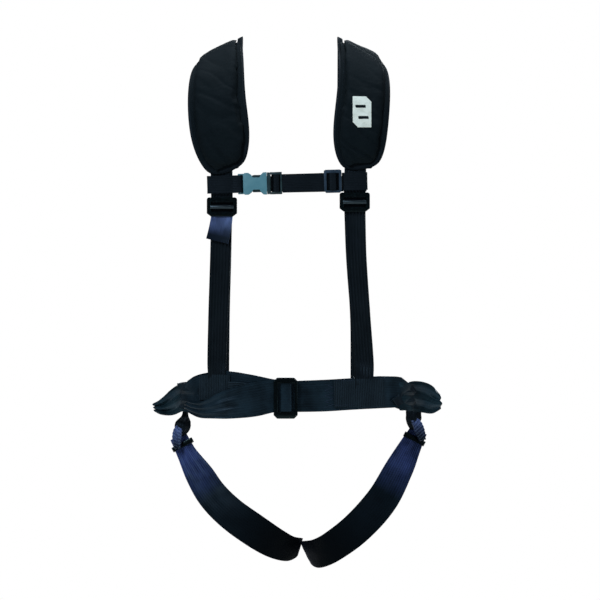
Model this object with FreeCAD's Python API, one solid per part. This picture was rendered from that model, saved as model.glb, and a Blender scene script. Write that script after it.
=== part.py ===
"""Full-body safety harness vest: padded shoulder straps, chest strap, waist belt and leg loops.

The harness is modelled as it hangs on a standing wearer.  +Z is up, the front faces -Y and +X is
the wearer's left.  The origin is below the middle of the harness, level with the lowest webbing.
All sizes are in millimetres.
"""
import FreeCAD, Part
import math
import os
from collections import namedtuple

from FreeCAD import Vector

# Driving dimensions
WEB = 1.8  # one layer of webbing
SHOULDER_WIDTH = 30.5
FRONT_WIDTH = 29.0
CHEST_WIDTH = 25.0
BELT_WIDTH = 44.0
PAD_THICKNESS = 11.0
BINDING_THICKNESS = 2.6
BINDING_WIDTH = 7.0
COVER_FABRIC = 1.2
PAD_LIFT = 1.8  # from the middle of the shoulder web to the pad's underside

# The waist is a superellipse around the wearer
WAIST_HALF_WIDTH = 172.0
WAIST_HALF_DEPTH = 103.0
WAIST_CENTRE_Y = -5.0
WAIST_POWER = 2.6
HIP_X = 147.0  # where the flat belt ends and the gathered hip webbing starts

# The chest strap lies in one plane and leans a little
CHEST_Y = -109.5
CHEST_Z = 545.2
CHEST_MIDDLE_X = -13.0
CHEST_LEAN = -1.4  # degrees about +Y

# Side-release buckle, measured along the strap from its webbing end
BUCKLE_START_X = -84.5
FEMALE_LENGTH = 41.0
BUCKLE_HEIGHT = 32.0
BUCKLE_DEPTH = 11.0
CAVITY_HALF_HEIGHT = 13.0
CAVITY_HALF_DEPTH = 3.2
MALE_START = FEMALE_LENGTH + 0.3
MALE_END = 62.5
PRONG_PIVOT = (39.4, 8.0)

# Three-bar slide on the chest strap
TRI_GLIDE_X = (37.6, 62.6)
TRI_GLIDE_HEIGHT = 31.8
TRI_GLIDE_Y = CHEST_Y - 4.5
TRI_GLIDE_THICKNESS = 2.6

# Friction buckles between the shoulder webs and the front straps
FRICTION_WIDTH = 43.0
FRICTION_HEIGHT = 27.2
FRICTION_THICKNESS = 3.2
FRICTION_WINDOW = (34.0, 15.0)
FRICTION_BAR_RADIUS = 2.5
FRICTION_TRAVEL = 2.0
FRICTION_Y = -107.3

# Waist buckle
WAIST_BUCKLE_X = (-33.9, 0.3)
WAIST_BUCKLE_Z = (210.7, 269.0)
WAIST_BUCKLE_Y = -115.5
WAIST_BUCKLE_THICKNESS = 3.0

# Leg strap adjusters
ADJUSTER_SIZE = (33.0, 7.0, 6.0)  # across the strap, along it, through it
ADJUSTER_SLOT = (27.6, 3.2)

# Cross strap behind the shoulders
YOKE_Z = 547.5
YOKE_WIDTH = 22.0

# How finely the curved bands of the shoulders are divided
WEB_STEPS = 52
PAD_STEP = 9.0

X_AXIS = Vector(1, 0, 0)
Y_AXIS = Vector(0, 1, 0)
Z_AXIS = Vector(0, 0, 1)

Station = namedtuple("Station", "point across width")


def save(name, shape):
    """Write one piece to parts/NAME.step and print its volume, so that an empty one shows."""
    if not shape.isValid():
        raise ValueError(name + " isn't a valid solid")
    if shape.Volume < 1.0:
        raise ValueError(name + " is empty")
    shape.exportStep("parts/" + name + ".step")
    print("%-24s %9.1f mm3" % (name, shape.Volume))


def box(x, y, z):
    """Block between pairs of limits."""
    return Part.makeBox(x[1] - x[0], y[1] - y[0], z[1] - z[0], Vector(x[0], y[0], z[0]))


def prism(outline, y):
    """Closed (x, z) outline extruded between two depths."""
    points = [Vector(a, y[0], b) for a, b in outline]
    wire = Part.makePolygon(points + points[:1])
    return Part.Face(wire).extrude(Vector(0, y[1] - y[0], 0))


def around(centre, length):
    """Limits of a length centred on a place."""
    return (centre - length / 2.0, centre + length / 2.0)


def tangents(stations):
    """Direction of travel at each station, from its neighbours."""
    last = len(stations) - 1
    found = []
    for i in range(len(stations)):
        step = stations[min(i + 1, last)].point - stations[max(i - 1, 0)].point
        found.append(step.normalize())
    return found


def strip(stations, low=-WEB / 2, high=WEB / 2, bevel=0.0, inset=0.0, straight=False):
    """Loft a band through the stations.

    low and high are the heights of its two faces above the path, towards the outside.  inset
    narrows both faces, and bevel narrows the high one further.  A straight band runs straight from
    one station to the next, and any other is smooth.
    """
    wires = []
    for station, forward in zip(stations, tangents(stations)):
        outward = station.across.cross(forward).normalize()
        across = forward.cross(outward).normalize()
        base = station.width / 2 - inset
        corners = [(-base, low), (base, low), (base - bevel, high), (bevel - base, high)]
        points = [station.point + across * a + outward * b for a, b in corners]
        wires.append(Part.makePolygon(points + points[:1]))
    return Part.makeLoft(wires, True, straight)


def waist_y(x, rear=False, out=0.0):
    """Depth of the waist at a place across it, out millimetres outside the webbing's middle."""
    share = min(abs(x) / (WAIST_HALF_WIDTH + out), 1.0)
    depth = (WAIST_HALF_DEPTH + out) * (1 - share**WAIST_POWER) ** (1 / WAIST_POWER)
    return WAIST_CENTRE_Y + (depth if rear else -depth)


def waist_station(x, z, width, out=0.0, rear=False, hangs=False):
    """Station of a band that runs along the waist, or of a strap that hangs down over it."""
    point = Vector(x, waist_y(x, rear, out), z)
    if not hangs:
        return Station(point, Vector(0, 0, 1 if rear else -1), width)
    step = 2.0
    along = Vector(2 * step, waist_y(x + step, rear, out) - waist_y(x - step, rear, out), 0)
    return Station(point, along.normalize(), width)


def belt(rows, rear=False):
    """Band along the waist from rows of x, z, width and distance outside the waist."""
    return strip([waist_station(x, z, width, out, rear) for x, z, width, out in rows])


def slope(degrees):
    """Across direction of a strap that lies on a sloping shoulder."""
    angle = math.radians(degrees)
    return Vector(math.cos(angle), 0, math.sin(angle))


SHOULDER_CREST_Y = -5.0

# Shoulders: height, depth and share of the shoulder's slope, from the chest over to the back
SHOULDER_PATH = [
    (503.0, -104.0, 0.0),
    (545.0, -104.0, 0.0),
    (600.0, -99.0, 0.0),
    (650.0, -86.0, 0.1),
    (697.0, -61.0, 0.45),
    (722.0, -35.0, 0.8),
    (734.0, SHOULDER_CREST_Y, 1.0),
    (722.0, 26.0, 0.8),
    (697.0, 50.0, 0.45),
    (650.0, 70.0, 0.1),
    (600.0, 80.0, 0.0),
    (545.0, 84.0, 0.0),
    (450.0, 85.5, 0.0),
    (350.0, 86.5, 0.0),
]
SHOULDER_SLOPE = 27.5


def shoulder_lean(z):
    """Share of the shoulder's slope at a height."""
    rows = [row for row in SHOULDER_PATH if row[1] <= SHOULDER_CREST_Y]
    for (low, _, a), (high, _, b) in zip(rows, rows[1:]):
        if low <= z <= high:
            return a + (b - a) * (z - low) / (high - low)
    return 0.0 if z < rows[0][0] else 1.0


class Spine:
    """Smooth middle line of one shoulder web, from its buckle over the shoulder and down."""

    def __init__(self, side):
        points = [Vector(x, y, z) for x, (z, y, _) in zip(side.web_x, SHOULDER_PATH)]
        self.side = side
        self.curve = Part.BSplineCurve()
        self.curve.interpolate(points)
        crest = points[[y for _, y, _ in SHOULDER_PATH].index(SHOULDER_CREST_Y)]
        self.crest = self.curve.parameter(crest)

    def parameter(self, z, rear):
        """Place along the line at a height, on the front or the rear run."""
        high, low = self.crest, self.curve.LastParameter if rear else self.curve.FirstParameter
        for _ in range(40):
            middle = (high + low) / 2
            if self.curve.value(middle).z > z:
                high = middle
            else:
                low = middle
        return low

    def station(self, parameter, width, x=None):
        """Station on the line, or beside it on the sloping shoulder at a stated x."""
        point = self.curve.value(parameter)
        across = slope(-self.side.sign * shoulder_lean(point.z) * SHOULDER_SLOPE)
        if x is not None:
            point = point + across * ((x - point.x) / across.x)
        return Station(point, across, width)


class Side:
    """Places that differ between the two sides of the harness."""

    def __init__(self, name, sign, web_x, pad_front, pad_rear, buckle, strap, tail):
        self.name = name
        self.sign = sign
        self.web_x = web_x
        self.pad_front = pad_front
        self.pad_rear = pad_rear
        self.buckle = buckle
        self.strap = strap
        self.tail = tail


# web_x gives the shoulder web's place across at each step of SHOULDER_PATH.  pad_front and
# pad_rear are rows of x, z and width, from the front tip over the crest to the rear tip.
RIGHT = Side(
    "right",
    -1,
    [-107.2, -107.5, -109, -111, -110, -108, -107, -107.5, -108, -108, -108, -108.5, -110, -112.5],
    [
        (-97.5, 558.8, 16.0),
        (-98.5, 562.3, 40.0),
        (-101.5, 570.0, 58.0),
        (-105.5, 585.0, 72.0),
        (-109.0, 607.0, 83.0),
        (-112.5, 635.0, 85.0),
        (-115.5, 665.0, 82.0),
        (-115.0, 697.0, 79.0),
        (-112.0, 722.0, 75.0),
        (-109.0, 734.0, 69.0),
    ],
    [
        (-109.5, 722.0, 63.0),
        (-109.5, 697.0, 60.0),
        (-109.5, 650.0, 60.0),
        (-109.0, 612.0, 58.0),
        (-108.5, 592.0, 46.0),
        (-108.5, 582.0, 18.0),
    ],
    (-107.2, 511.0),
    [(-107.8, 494.5), (-109.5, 440.0), (-112.5, 360.0), (-114.5, 292.0)],
    [(-107.5, 495.0, 32.0), (-108.0, 484.0, 33.0), (-110.0, 472.0, 32.0)],
)
LEFT = Side(
    "left",
    1,
    [81.2, 81.5, 83.5, 87, 89, 87, 85, 85.5, 86, 86, 85.5, 84.5, 85, 90.5],
    [
        (90.0, 562.0, 16.0),
        (90.0, 565.8, 40.0),
        (89.0, 573.0, 56.0),
        (88.2, 586.0, 68.0),
        (88.2, 606.0, 76.0),
        (90.5, 633.0, 77.5),
        (93.8, 665.0, 76.0),
        (95.0, 697.0, 74.0),
        (91.5, 722.0, 72.0),
        (86.5, 734.0, 68.0),
    ],
    [
        (87.0, 722.0, 63.0),
        (87.5, 697.0, 60.0),
        (87.5, 650.0, 60.0),
        (87.0, 612.0, 58.0),
        (86.0, 592.0, 46.0),
        (86.0, 582.0, 18.0),
    ],
    (81.2, 518.0),
    [(81.6, 501.5), (83.5, 440.0), (89.2, 360.0), (94.8, 290.0)],
    None,
)
SIDES = (RIGHT, LEFT)


def shoulder_web(side):
    """Webbing from the friction buckle, over the shoulder and down the back to the belt."""
    spine = Spine(side)
    start = spine.parameter(side.buckle[1] + 6.0, rear=False)
    step = (spine.curve.LastParameter - start) / WEB_STEPS
    stations = [spine.station(start + i * step, SHOULDER_WIDTH) for i in range(WEB_STEPS + 1)]
    for z in (268.0, 228.0):
        stations.append(waist_station(side.web_x[-1], z, SHOULDER_WIDTH, 3.5, True, hangs=True))
    return strip(stations, straight=True)


def pad_stations(side):
    """Stations of a shoulder pad, from its front tip over the crest to its rear tip."""
    spine = Spine(side)
    rows = [(row, False) for row in side.pad_front] + [(row, True) for row in side.pad_rear]
    placed = [(x, width, spine.parameter(z, rear)) for (x, z, width), rear in rows]
    stations = []
    for start, end in zip(placed, placed[1:]):
        gap = spine.curve.value(start[2]).distanceToPoint(spine.curve.value(end[2]))
        steps = max(1, round(gap / PAD_STEP))
        for i in range(steps):
            x, width, parameter = [a + (b - a) * i / steps for a, b in zip(start, end)]
            stations.append(spine.station(parameter, width, x))
    x, width, parameter = placed[-1]
    stations.append(spine.station(parameter, width, x))
    return stations


def shoulder_pad(side):
    """Cover shell, foam core and edge binding of one pad, and the cover with no hollow."""
    stations = pad_stations(side)
    low = PAD_LIFT
    high = low + PAD_THICKNESS
    solid = strip(stations[1:-1], low, high, 6.0, BINDING_WIDTH, straight=True)
    foam_inset = BINDING_WIDTH + COVER_FABRIC + 0.6
    foam = strip(stations[3:-3], low + COVER_FABRIC, high - COVER_FABRIC, 5.0, foam_inset, straight=True)
    rim = strip(stations, low, low + BINDING_THICKNESS, straight=True)
    field = strip(stations[1:-1], low - 1.0, high, 0.0, BINDING_WIDTH, straight=True)
    return solid.cut(foam), foam, rim.cut(field), solid


def badge(cover_outer, side):
    """Thin moulded patch that follows the pad's outer face."""
    middle_x, middle_z = 91.6, 646.0
    half_width, half_height, chamfer = 14.0, 23.0, 8.0
    outline = [
        (middle_x - half_width + chamfer, middle_z - half_height),
        (middle_x + half_width, middle_z - half_height),
        (middle_x + half_width, middle_z + half_height - chamfer),
        (middle_x + half_width - chamfer, middle_z + half_height),
        (middle_x - half_width, middle_z + half_height),
        (middle_x - half_width, middle_z - half_height + chamfer),
    ]
    low = PAD_LIFT + PAD_THICKNESS
    inset = BINDING_WIDTH + 6.0
    skin = strip(pad_stations(side)[1:-1], low + 0.05, low + 0.95, 0.0, inset, straight=True)
    return skin.common(prism(outline, (-140.0, -60.0))).cut(cover_outer)


def friction_frame(side):
    """Pressed plate with one window, rounded at the top and chamfered below."""
    x, z = side.buckle
    half_w, half_h, cut = FRICTION_WIDTH / 2, FRICTION_HEIGHT / 2, 4.5
    outline = [
        (x - half_w + cut, z - half_h),
        (x + half_w - cut, z - half_h),
        (x + half_w, z - half_h + cut),
        (x + half_w, z + half_h),
        (x - half_w, z + half_h),
        (x - half_w, z - half_h + cut),
    ]
    y = around(FRICTION_Y, FRICTION_THICKNESS)
    plate = prism(outline, y)
    top = [e for e in plate.Edges if e.BoundBox.ZMin > z + half_h - 0.1 and e.BoundBox.XLength < 0.1]
    plate = plate.makeFillet(3.5, top)
    window = box(around(x, FRICTION_WINDOW[0]), y, around(z, FRICTION_WINDOW[1]))
    groove = box(
        around(x, FRICTION_WINDOW[0] + 5.6),
        around(FRICTION_Y, 1.8),
        (z - FRICTION_TRAVEL - 2.2, z + 2.2),
    )
    return plate.cut(window).cut(groove)


def friction_bar(side):
    """Round bar that floats in the frame and grips the webbing."""
    x, z = side.buckle
    length = FRICTION_WINDOW[0] - 0.8
    start = Vector(x - length / 2, FRICTION_Y, z)
    bar = Part.makeCylinder(FRICTION_BAR_RADIUS, length, start, X_AXIS)
    tongue = box(around(x, length + 5.0), around(FRICTION_Y, 1.2), around(z, 3.4))
    return bar.fuse(tongue)


def strap_turn(side):
    """Short length of strap folded over the floating bar."""
    x, z = side.buckle
    inner = FRICTION_BAR_RADIUS + 0.2
    outer = inner + WEB
    width = FRONT_WIDTH
    start = Vector(x - width / 2, FRICTION_Y, z)
    bend = Part.makeCylinder(outer, width, start, X_AXIS)
    bend = bend.cut(Part.makeCylinder(inner, width, start, X_AXIS))
    bend = bend.common(box(around(x, width), around(FRICTION_Y, 3 * outer), (z, z + 2 * outer)))
    drop = (z - 12.0, z)
    front = box(around(x, width), (FRICTION_Y - outer, FRICTION_Y - inner), drop)
    rear = box(around(x, width), (FRICTION_Y + inner, FRICTION_Y + outer), drop)
    return bend.fuse(front).fuse(rear).removeSplitter()


def front_strap(side):
    """Strap from below the friction buckle down over the belt."""
    depth = (-103.7, -102.5, -99.5, -96.0)
    stations = []
    for (x, z), y in zip(side.strap, depth):
        stations.append(Station(Vector(x, y, z), X_AXIS, FRONT_WIDTH))
    x = side.strap[-1][0]
    for z in (266.0, 232.0):
        stations.append(waist_station(x, z, FRONT_WIDTH, 6.5, hangs=True))
    return strip(stations, straight=True)


def strap_tail(side):
    """Free end of the strap that hangs out of the front of its buckle."""
    y = (FRICTION_Y - 3.6, FRICTION_Y - 4.2, FRICTION_Y - 5.6)
    stations = []
    for (x, z, width), depth in zip(side.tail, y):
        stations.append(Station(Vector(x, depth, z), slope(-6.0), width))
    return strip(stations)


def chest_place(shape):
    """Lean a piece of the chest strap with the rest of it."""
    shape.rotate(Vector(CHEST_MIDDLE_X, CHEST_Y, CHEST_Z), Y_AXIS, CHEST_LEAN)
    return shape


def buckle_x(*lengths):
    """Places across for lengths along the side-release buckle."""
    return tuple(BUCKLE_START_X + length for length in lengths)


def mirrored(half):
    """A closed outline from its upper half, given as along and height pairs."""
    upper = [(BUCKLE_START_X + a, CHEST_Z + b) for a, b in half]
    lower = [(BUCKLE_START_X + a, CHEST_Z - b) for a, b in reversed(half)]
    return upper + lower


def chest_loop(x):
    """Sleeve of webbing sewn round a shoulder web."""
    outer = (CHEST_Y + 0.8, CHEST_Y + 9.9)
    inner = (outer[0] + WEB, outer[1] - WEB)
    z = around(CHEST_Z, CHEST_WIDTH)
    ring = box(x, outer, z).cut(box((x[0] + WEB, x[1] - WEB), inner, z))
    ends = [e for e in ring.Edges if e.BoundBox.ZLength > 20 and e.BoundBox.XLength < 0.1]
    corners = [e for e in ends if min(abs(e.BoundBox.XMin - side) for side in x) < 0.1]
    return ring.makeFillet(1.6, corners)


def buckle_female():
    """Socket half: a waisted shell with open sides and a bar for the webbing."""
    half = BUCKLE_HEIGHT / 2
    profile = [(7.5, half - 2.5), (9.5, half - 0.5), (15.0, half - 0.5), (19.0, 12.6), (21.5, 11.4)]
    profile += [(30.5, 11.4), (33.0, 12.8), (36.0, half - 0.4), (FEMALE_LENGTH, half)]
    body = prism(mirrored(profile), around(CHEST_Y, BUCKLE_DEPTH))
    cavity = box(
        buckle_x(17.0, FEMALE_LENGTH + 1),
        around(CHEST_Y, 2 * CAVITY_HALF_DEPTH),
        around(CHEST_Z, 2 * CAVITY_HALF_HEIGHT),
    )
    body = body.cut(cavity)
    bar_y = (CHEST_Y + 1.4, CHEST_Y + 4.2)
    height = around(CHEST_Z, 29.0)
    frame = box(buckle_x(0.0, 8.0), bar_y, height)
    slot = box(buckle_x(2.6, 7.0), bar_y, around(CHEST_Z, CHEST_WIDTH))
    return body.fuse(frame.cut(slot)).removeSplitter()


def buckle_male():
    """Plug half: collar, guide tongue and a two-slot frame for the webbing."""
    collar = box(buckle_x(MALE_START, 45.5), around(CHEST_Y, 10.0), around(CHEST_Z, BUCKLE_HEIGHT - 1))
    edges = [e for e in collar.Edges if e.BoundBox.YLength > 9]
    collar = collar.makeFillet(1.5, edges)
    frame = box(buckle_x(45.0, MALE_END), around(CHEST_Y, 4.0), around(CHEST_Z, 29.0))
    for slot in ((46.6, 52.4), (56.6, 60.2)):
        frame = frame.cut(box(buckle_x(*slot), around(CHEST_Y, 4.0), around(CHEST_Z, CHEST_WIDTH + 0.6)))
    tongue = box(buckle_x(22.0, MALE_START + 1), around(CHEST_Y, 5.0), around(CHEST_Z, 5.0))
    return collar.fuse(frame).fuse(tongue).removeSplitter()


def prong(sign):
    """Springy arm of the plug half with its thumb-shaped tip."""
    along, out = PRONG_PIVOT
    outline = [(along, out - 1.5), (along + 1.5, out), (along, out + 1.6), (32.0, 12.3), (21.5, 12.3)]
    outline += [(20.0, 10.8), (21.0, 8.6), (30.0, 8.2), (33.0, 8.6)]
    points = [(BUCKLE_START_X + a, CHEST_Z + sign * b) for a, b in outline]
    return prism(points, around(CHEST_Y, 5.2))


def male_wrap():
    """Webbing folded round the middle bar of the plug half."""
    z = around(CHEST_Z, CHEST_WIDTH)
    outer = box(buckle_x(50.4, 58.6), around(CHEST_Y, 4.4 + 2 * WEB), z)
    inner = box(buckle_x(50.4 + WEB, 58.6 - WEB), around(CHEST_Y, 4.4), z)
    return outer.cut(inner)


def slide_frame(x, z, y, thickness, slots, corner):
    """Three-bar slide: a chamfered plate with slots for webbing."""
    outline = [
        (x[0] + corner, z[0]),
        (x[1] - corner, z[0]),
        (x[1], z[0] + corner),
        (x[1], z[1] - corner),
        (x[1] - corner, z[1]),
        (x[0] + corner, z[1]),
        (x[0], z[1] - corner),
        (x[0], z[0] + corner),
    ]
    plate = prism(outline, around(y, thickness))
    for slot_x, slot_z in slots:
        plate = plate.cut(box(slot_x, around(y, thickness), slot_z))
    return plate


def bar_wrap(x, z, y, thickness):
    """Webbing folded round a bar that spans x."""
    gap = 0.15
    reach = thickness / 2 + gap
    inner = box((x[0] - gap, x[1] + gap), (y - reach, y + reach), z)
    outer = box((x[0] - gap - WEB, x[1] + gap + WEB), (y - reach - WEB, y + reach + WEB), z)
    return outer.cut(inner)


def chest_strap():
    """All pieces of the chest strap, as name and shape pairs."""
    bar = (TRI_GLIDE_X[0] + 9.6, TRI_GLIDE_X[1] - 9.6)
    slot_z = around(CHEST_Z, CHEST_WIDTH + 1.0)
    slots = [((TRI_GLIDE_X[0] + 3.6, bar[0]), slot_z), ((bar[1], TRI_GLIDE_X[1] - 3.6), slot_z)]
    glide_z = around(CHEST_Z + 1.2, TRI_GLIDE_HEIGHT)
    z = around(CHEST_Z, CHEST_WIDTH)
    link = box((-88.0, BUCKLE_START_X + 7.0), around(CHEST_Y, WEB), z)
    web = box((BUCKLE_START_X + MALE_END + 0.5, 62.4), around(CHEST_Y, WEB), z)
    pieces = [
        ("chest_loop_right", chest_loop((-127.0, -86.0)).fuse(link).removeSplitter()),
        ("chest_loop_left", chest_loop((62.8, 99.5))),
        ("buckle_female", buckle_female()),
        ("buckle_male", buckle_male()),
        ("buckle_prong_upper", prong(1)),
        ("buckle_prong_lower", prong(-1)),
        ("buckle_male_wrap", male_wrap()),
        ("chest_web", web),
        (
            "tri_glide_frame",
            slide_frame(TRI_GLIDE_X, glide_z, TRI_GLIDE_Y, TRI_GLIDE_THICKNESS, slots, 2.5),
        ),
        ("tri_glide_wrap", bar_wrap(bar, z, TRI_GLIDE_Y, TRI_GLIDE_THICKNESS)),
    ]
    return [(name, chest_place(shape)) for name, shape in pieces]


def waist_buckle():
    """Frame of the waist buckle and the webbing folded over its middle bar."""
    left, right = WAIST_BUCKLE_X
    slot_z = (WAIST_BUCKLE_Z[0] + 6.2, WAIST_BUCKLE_Z[1] - 6.2)
    bar = (left + 12.0, right - 10.2)
    slots = [((left + 6.0, bar[0]), slot_z), ((bar[1], right - 4.2), slot_z)]
    frame = slide_frame(
        WAIST_BUCKLE_X, WAIST_BUCKLE_Z, WAIST_BUCKLE_Y, WAIST_BUCKLE_THICKNESS, slots, 5.0
    )
    middle = sum(WAIST_BUCKLE_Z) / 2
    wrap = bar_wrap(bar, around(middle, BELT_WIDTH), WAIST_BUCKLE_Y, WAIST_BUCKLE_THICKNESS)
    return frame, wrap


def hip_side(sign):
    """Belt webbing gathered round one hip."""
    turns = (35.0, 18.0, 0.0, -18.0, -35.0)
    widths = (40.0, 35.0, 38.0, 35.0, 38.0)
    stations = []
    for turn, width in zip(turns, widths):
        angle = math.radians(turn)
        x = WAIST_HALF_WIDTH * math.cos(angle) ** (2 / WAIST_POWER)
        y = WAIST_HALF_DEPTH * abs(math.sin(angle)) ** (2 / WAIST_POWER)
        point = Vector(sign * x, WAIST_CENTRE_Y - math.copysign(y, turn), 243.0)
        stations.append(Station(point, Vector(0, 0, -sign), width))
    return strip(stations, -3.5, 3.5)


def hip_fold(sign, root_z, tip_z, tip_x):
    """Doubled webbing that stands out from the gathered hip."""
    rows = [(WAIST_HALF_WIDTH + 4.2, 14.0, root_z), (tip_x - 14.0, 11.0, None), (tip_x, 5.0, tip_z)]
    wires = []
    for x, half, z in rows:
        if z is None:
            z = tuple(0.55 * a + 0.45 * b for a, b in zip(root_z, tip_z))
        corners = [(-half, z[0]), (half, z[0]), (half, z[1]), (-half, z[1])]
        points = [Vector(sign * x, WAIST_CENTRE_Y + a, b) for a, b in corners]
        wires.append(Part.makePolygon(points + points[:1]))
    return Part.makeLoft(wires, True, True)


# Leg loops: place and width of the webbing from above the adjuster to the crotch
LEG_CENTRE_Y = -2.0
LEG_RIGHT = [
    (-171.3, -6.0, 183.4, 24.0),
    (-164.7, -8.0, 171.1, 25.0),
    (-158.1, -11.0, 158.8, 27.0),
    (-141.3, -28.0, 129.2, 35.0),
    (-121.4, -48.0, 100.8, 40.0),
    (-95.9, -65.0, 75.3, 43.0),
    (-63.2, -74.0, 51.8, 42.0),
    (-33.4, -66.0, 33.4, 40.0),
    (-11.5, -40.0, 25.0, 31.0),
    (2.0, -4.0, 27.0, 20.0),
]
LEG_LEFT = [
    (174.1, -6.0, 192.1, 24.0),
    (167.6, -8.0, 179.6, 25.0),
    (161.1, -11.0, 167.1, 27.0),
    (146.0, -27.0, 139.0, 35.0),
    (120.0, -50.0, 95.1, 42.0),
    (83.8, -70.0, 55.4, 42.0),
    (46.2, -74.0, 27.3, 40.0),
    (24.0, -52.0, 17.8, 35.0),
    (9.5, -4.0, 27.0, 20.0),
]


def leg_stations(rows, rear=False):
    """Stations of a leg loop's front half, or of its slightly narrower rear half."""
    stations = []
    for x, y, z, width in rows:
        if rear:
            y, z, width = 2 * LEG_CENTRE_Y - y, z - 3.0, width - 6.0
        stations.append(Station(Vector(x, y, z), Z_AXIS, width))
    levelled = []
    for station, forward in zip(stations, tangents(stations)):
        levelled.append(station._replace(across=forward.cross(Y_AXIS).normalize()))
    levelled[-1] = levelled[-1]._replace(across=Z_AXIS)
    return levelled


def leg_adjuster(rows):
    """Slide that tightens a leg loop: a flat ring round the webbing."""
    stations = leg_stations(rows)
    station = stations[1]
    forward = tangents(stations)[1]
    outward = station.across.cross(forward).normalize()
    across = forward.cross(outward).normalize()
    size, slot = ADJUSTER_SIZE, ADJUSTER_SLOT
    ring = Part.makeBox(size[0], size[1], size[2], Vector(-size[0] / 2, -size[1] / 2, -size[2] / 2))
    hole = Part.makeBox(slot[0], size[1], slot[1], Vector(-slot[0] / 2, -size[1] / 2, -slot[1] / 2))
    ring = ring.makeFillet(1.2, [e for e in ring.Edges if e.BoundBox.YLength > size[1] - 0.1])
    ring = ring.cut(hole)
    place = FreeCAD.Matrix(
        across.x, forward.x, outward.x, station.point.x,
        across.y, forward.y, outward.y, station.point.y,
        across.z, forward.z, outward.z, station.point.z,
        0, 0, 0, 1,
    )
    if place.determinant() < 0:
        raise ValueError("the adjuster's axes are left-handed")
    ring.Placement = FreeCAD.Placement(place)
    return ring


def hip_link(sign, rows):
    """Folded webbing that hangs a leg loop from the belt."""
    wires = []
    for x, y, z, half_x, half_y in rows:
        corners = [(-half_x, -half_y), (half_x, -half_y), (half_x, half_y), (-half_x, half_y)]
        points = [Vector(sign * x + a, y + b, z) for a, b in corners]
        wires.append(Part.makePolygon(points + points[:1]))
    return Part.makeLoft(wires, True, False)


def leg_tail(sign, rows):
    """Short end of leg webbing folded back beside its adjuster."""
    points = [Station(Vector(sign * x, y, z), X_AXIS, width) for x, y, z, width in rows]
    return strip(points)


def tether_loop():
    """Webbing loop that stands out behind the shoulder blades, for the tether."""
    rows = [(-37, 91.2), (-31, 99), (-24, 112), (-13, 118.1), (-2, 112), (5, 99), (11, 91.2)]
    down = Vector(0, 0, -1)
    stations = [Station(Vector(x, y, YOKE_Z), down, YOKE_WIDTH) for x, y in rows]
    return strip(stations)


def back_yoke():
    """Cross strap that holds the two shoulder webs together behind the shoulders."""
    rows = [(-122, 87.0), (-60, 88.6), (-13, 89.0), (40, 88.6), (100, 87.0)]
    down = Vector(0, 0, -1)
    stations = [Station(Vector(x, y, YOKE_Z), down, YOKE_WIDTH) for x, y in rows]
    return strip(stations)


# Waist webbing as rows of x, z, width and distance outside the waist
BELT_LEFT = [
    (-14, 241.5, 44, 0),
    (35, 243.2, 45, 0),
    (75, 245.5, 45, 0),
    (105, 248.0, 46, 0),
    (130, 249.5, 46, 0),
    (HIP_X - 1, 249.0, 44, 0),
]
BELT_RIGHT_UNDER = [
    (3 - HIP_X, 249.0, 42, 0),
    (-125, 254.0, 44, 0),
    (-101, 256.0, 44, 0),
    (-72, 252.0, 44, 0),
    (-38, 245.5, 43, 0),
    (-18, 243.0, 43, 0),
]
BELT_RIGHT_OVER = [
    (4 - HIP_X, 222.0, 22, 9.0),
    (-124, 224.5, 28, 9.0),
    (-106, 229.0, 38, 9.0),
    (-80, 234.5, 46, 8.0),
    (-60, 238.0, 48, 5.0),
    (-36, 242.5, 46, 2.6),
    (-20, 243.0, 45, 2.6),
]
BELT_BACK = [
    (HIP_X - 1, 248.0, 40, 0),
    (110, 245.0, 42, 0),
    (60, 241.5, 42, 0),
    (0, 240.0, 42, 0),
    (-60, 241.0, 42, 0),
    (-110, 244.0, 42, 0),
    (1 - HIP_X, 246.0, 40, 0),
]
SLEEVE_RIGHT = [(-139, 254.5, 36, 3.0), (-110, 255.0, 38, 3.0), (-79, 254.5, 37, 3.0)]
SLEEVE_LEFT = [(52, 246.0, 39, 3.0), (88, 247.0, 40, 3.0), (122.5, 249.0, 38, 3.0)]

LINK_ROWS = {
    "right": [(162.5, -3, 216, 4, 5), (163, -3, 208, 5, 6), (165, -3, 199, 8.5, 7), (166, -3, 190, 6, 6)],
    "left": [(166, -3, 218, 8, 5), (165, -3, 212, 8.5, 6), (164, -3, 204, 6.5, 7), (166, -3, 198, 5, 6)],
}
TAIL_ROWS = {
    "right": [(170, -14, 194, 9), (172, -16, 184, 10), (170, -16, 171, 8)],
    "left": [(169, -14, 205, 9), (174, -16, 194, 11), (177, -16, 178, 8)],
}


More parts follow.
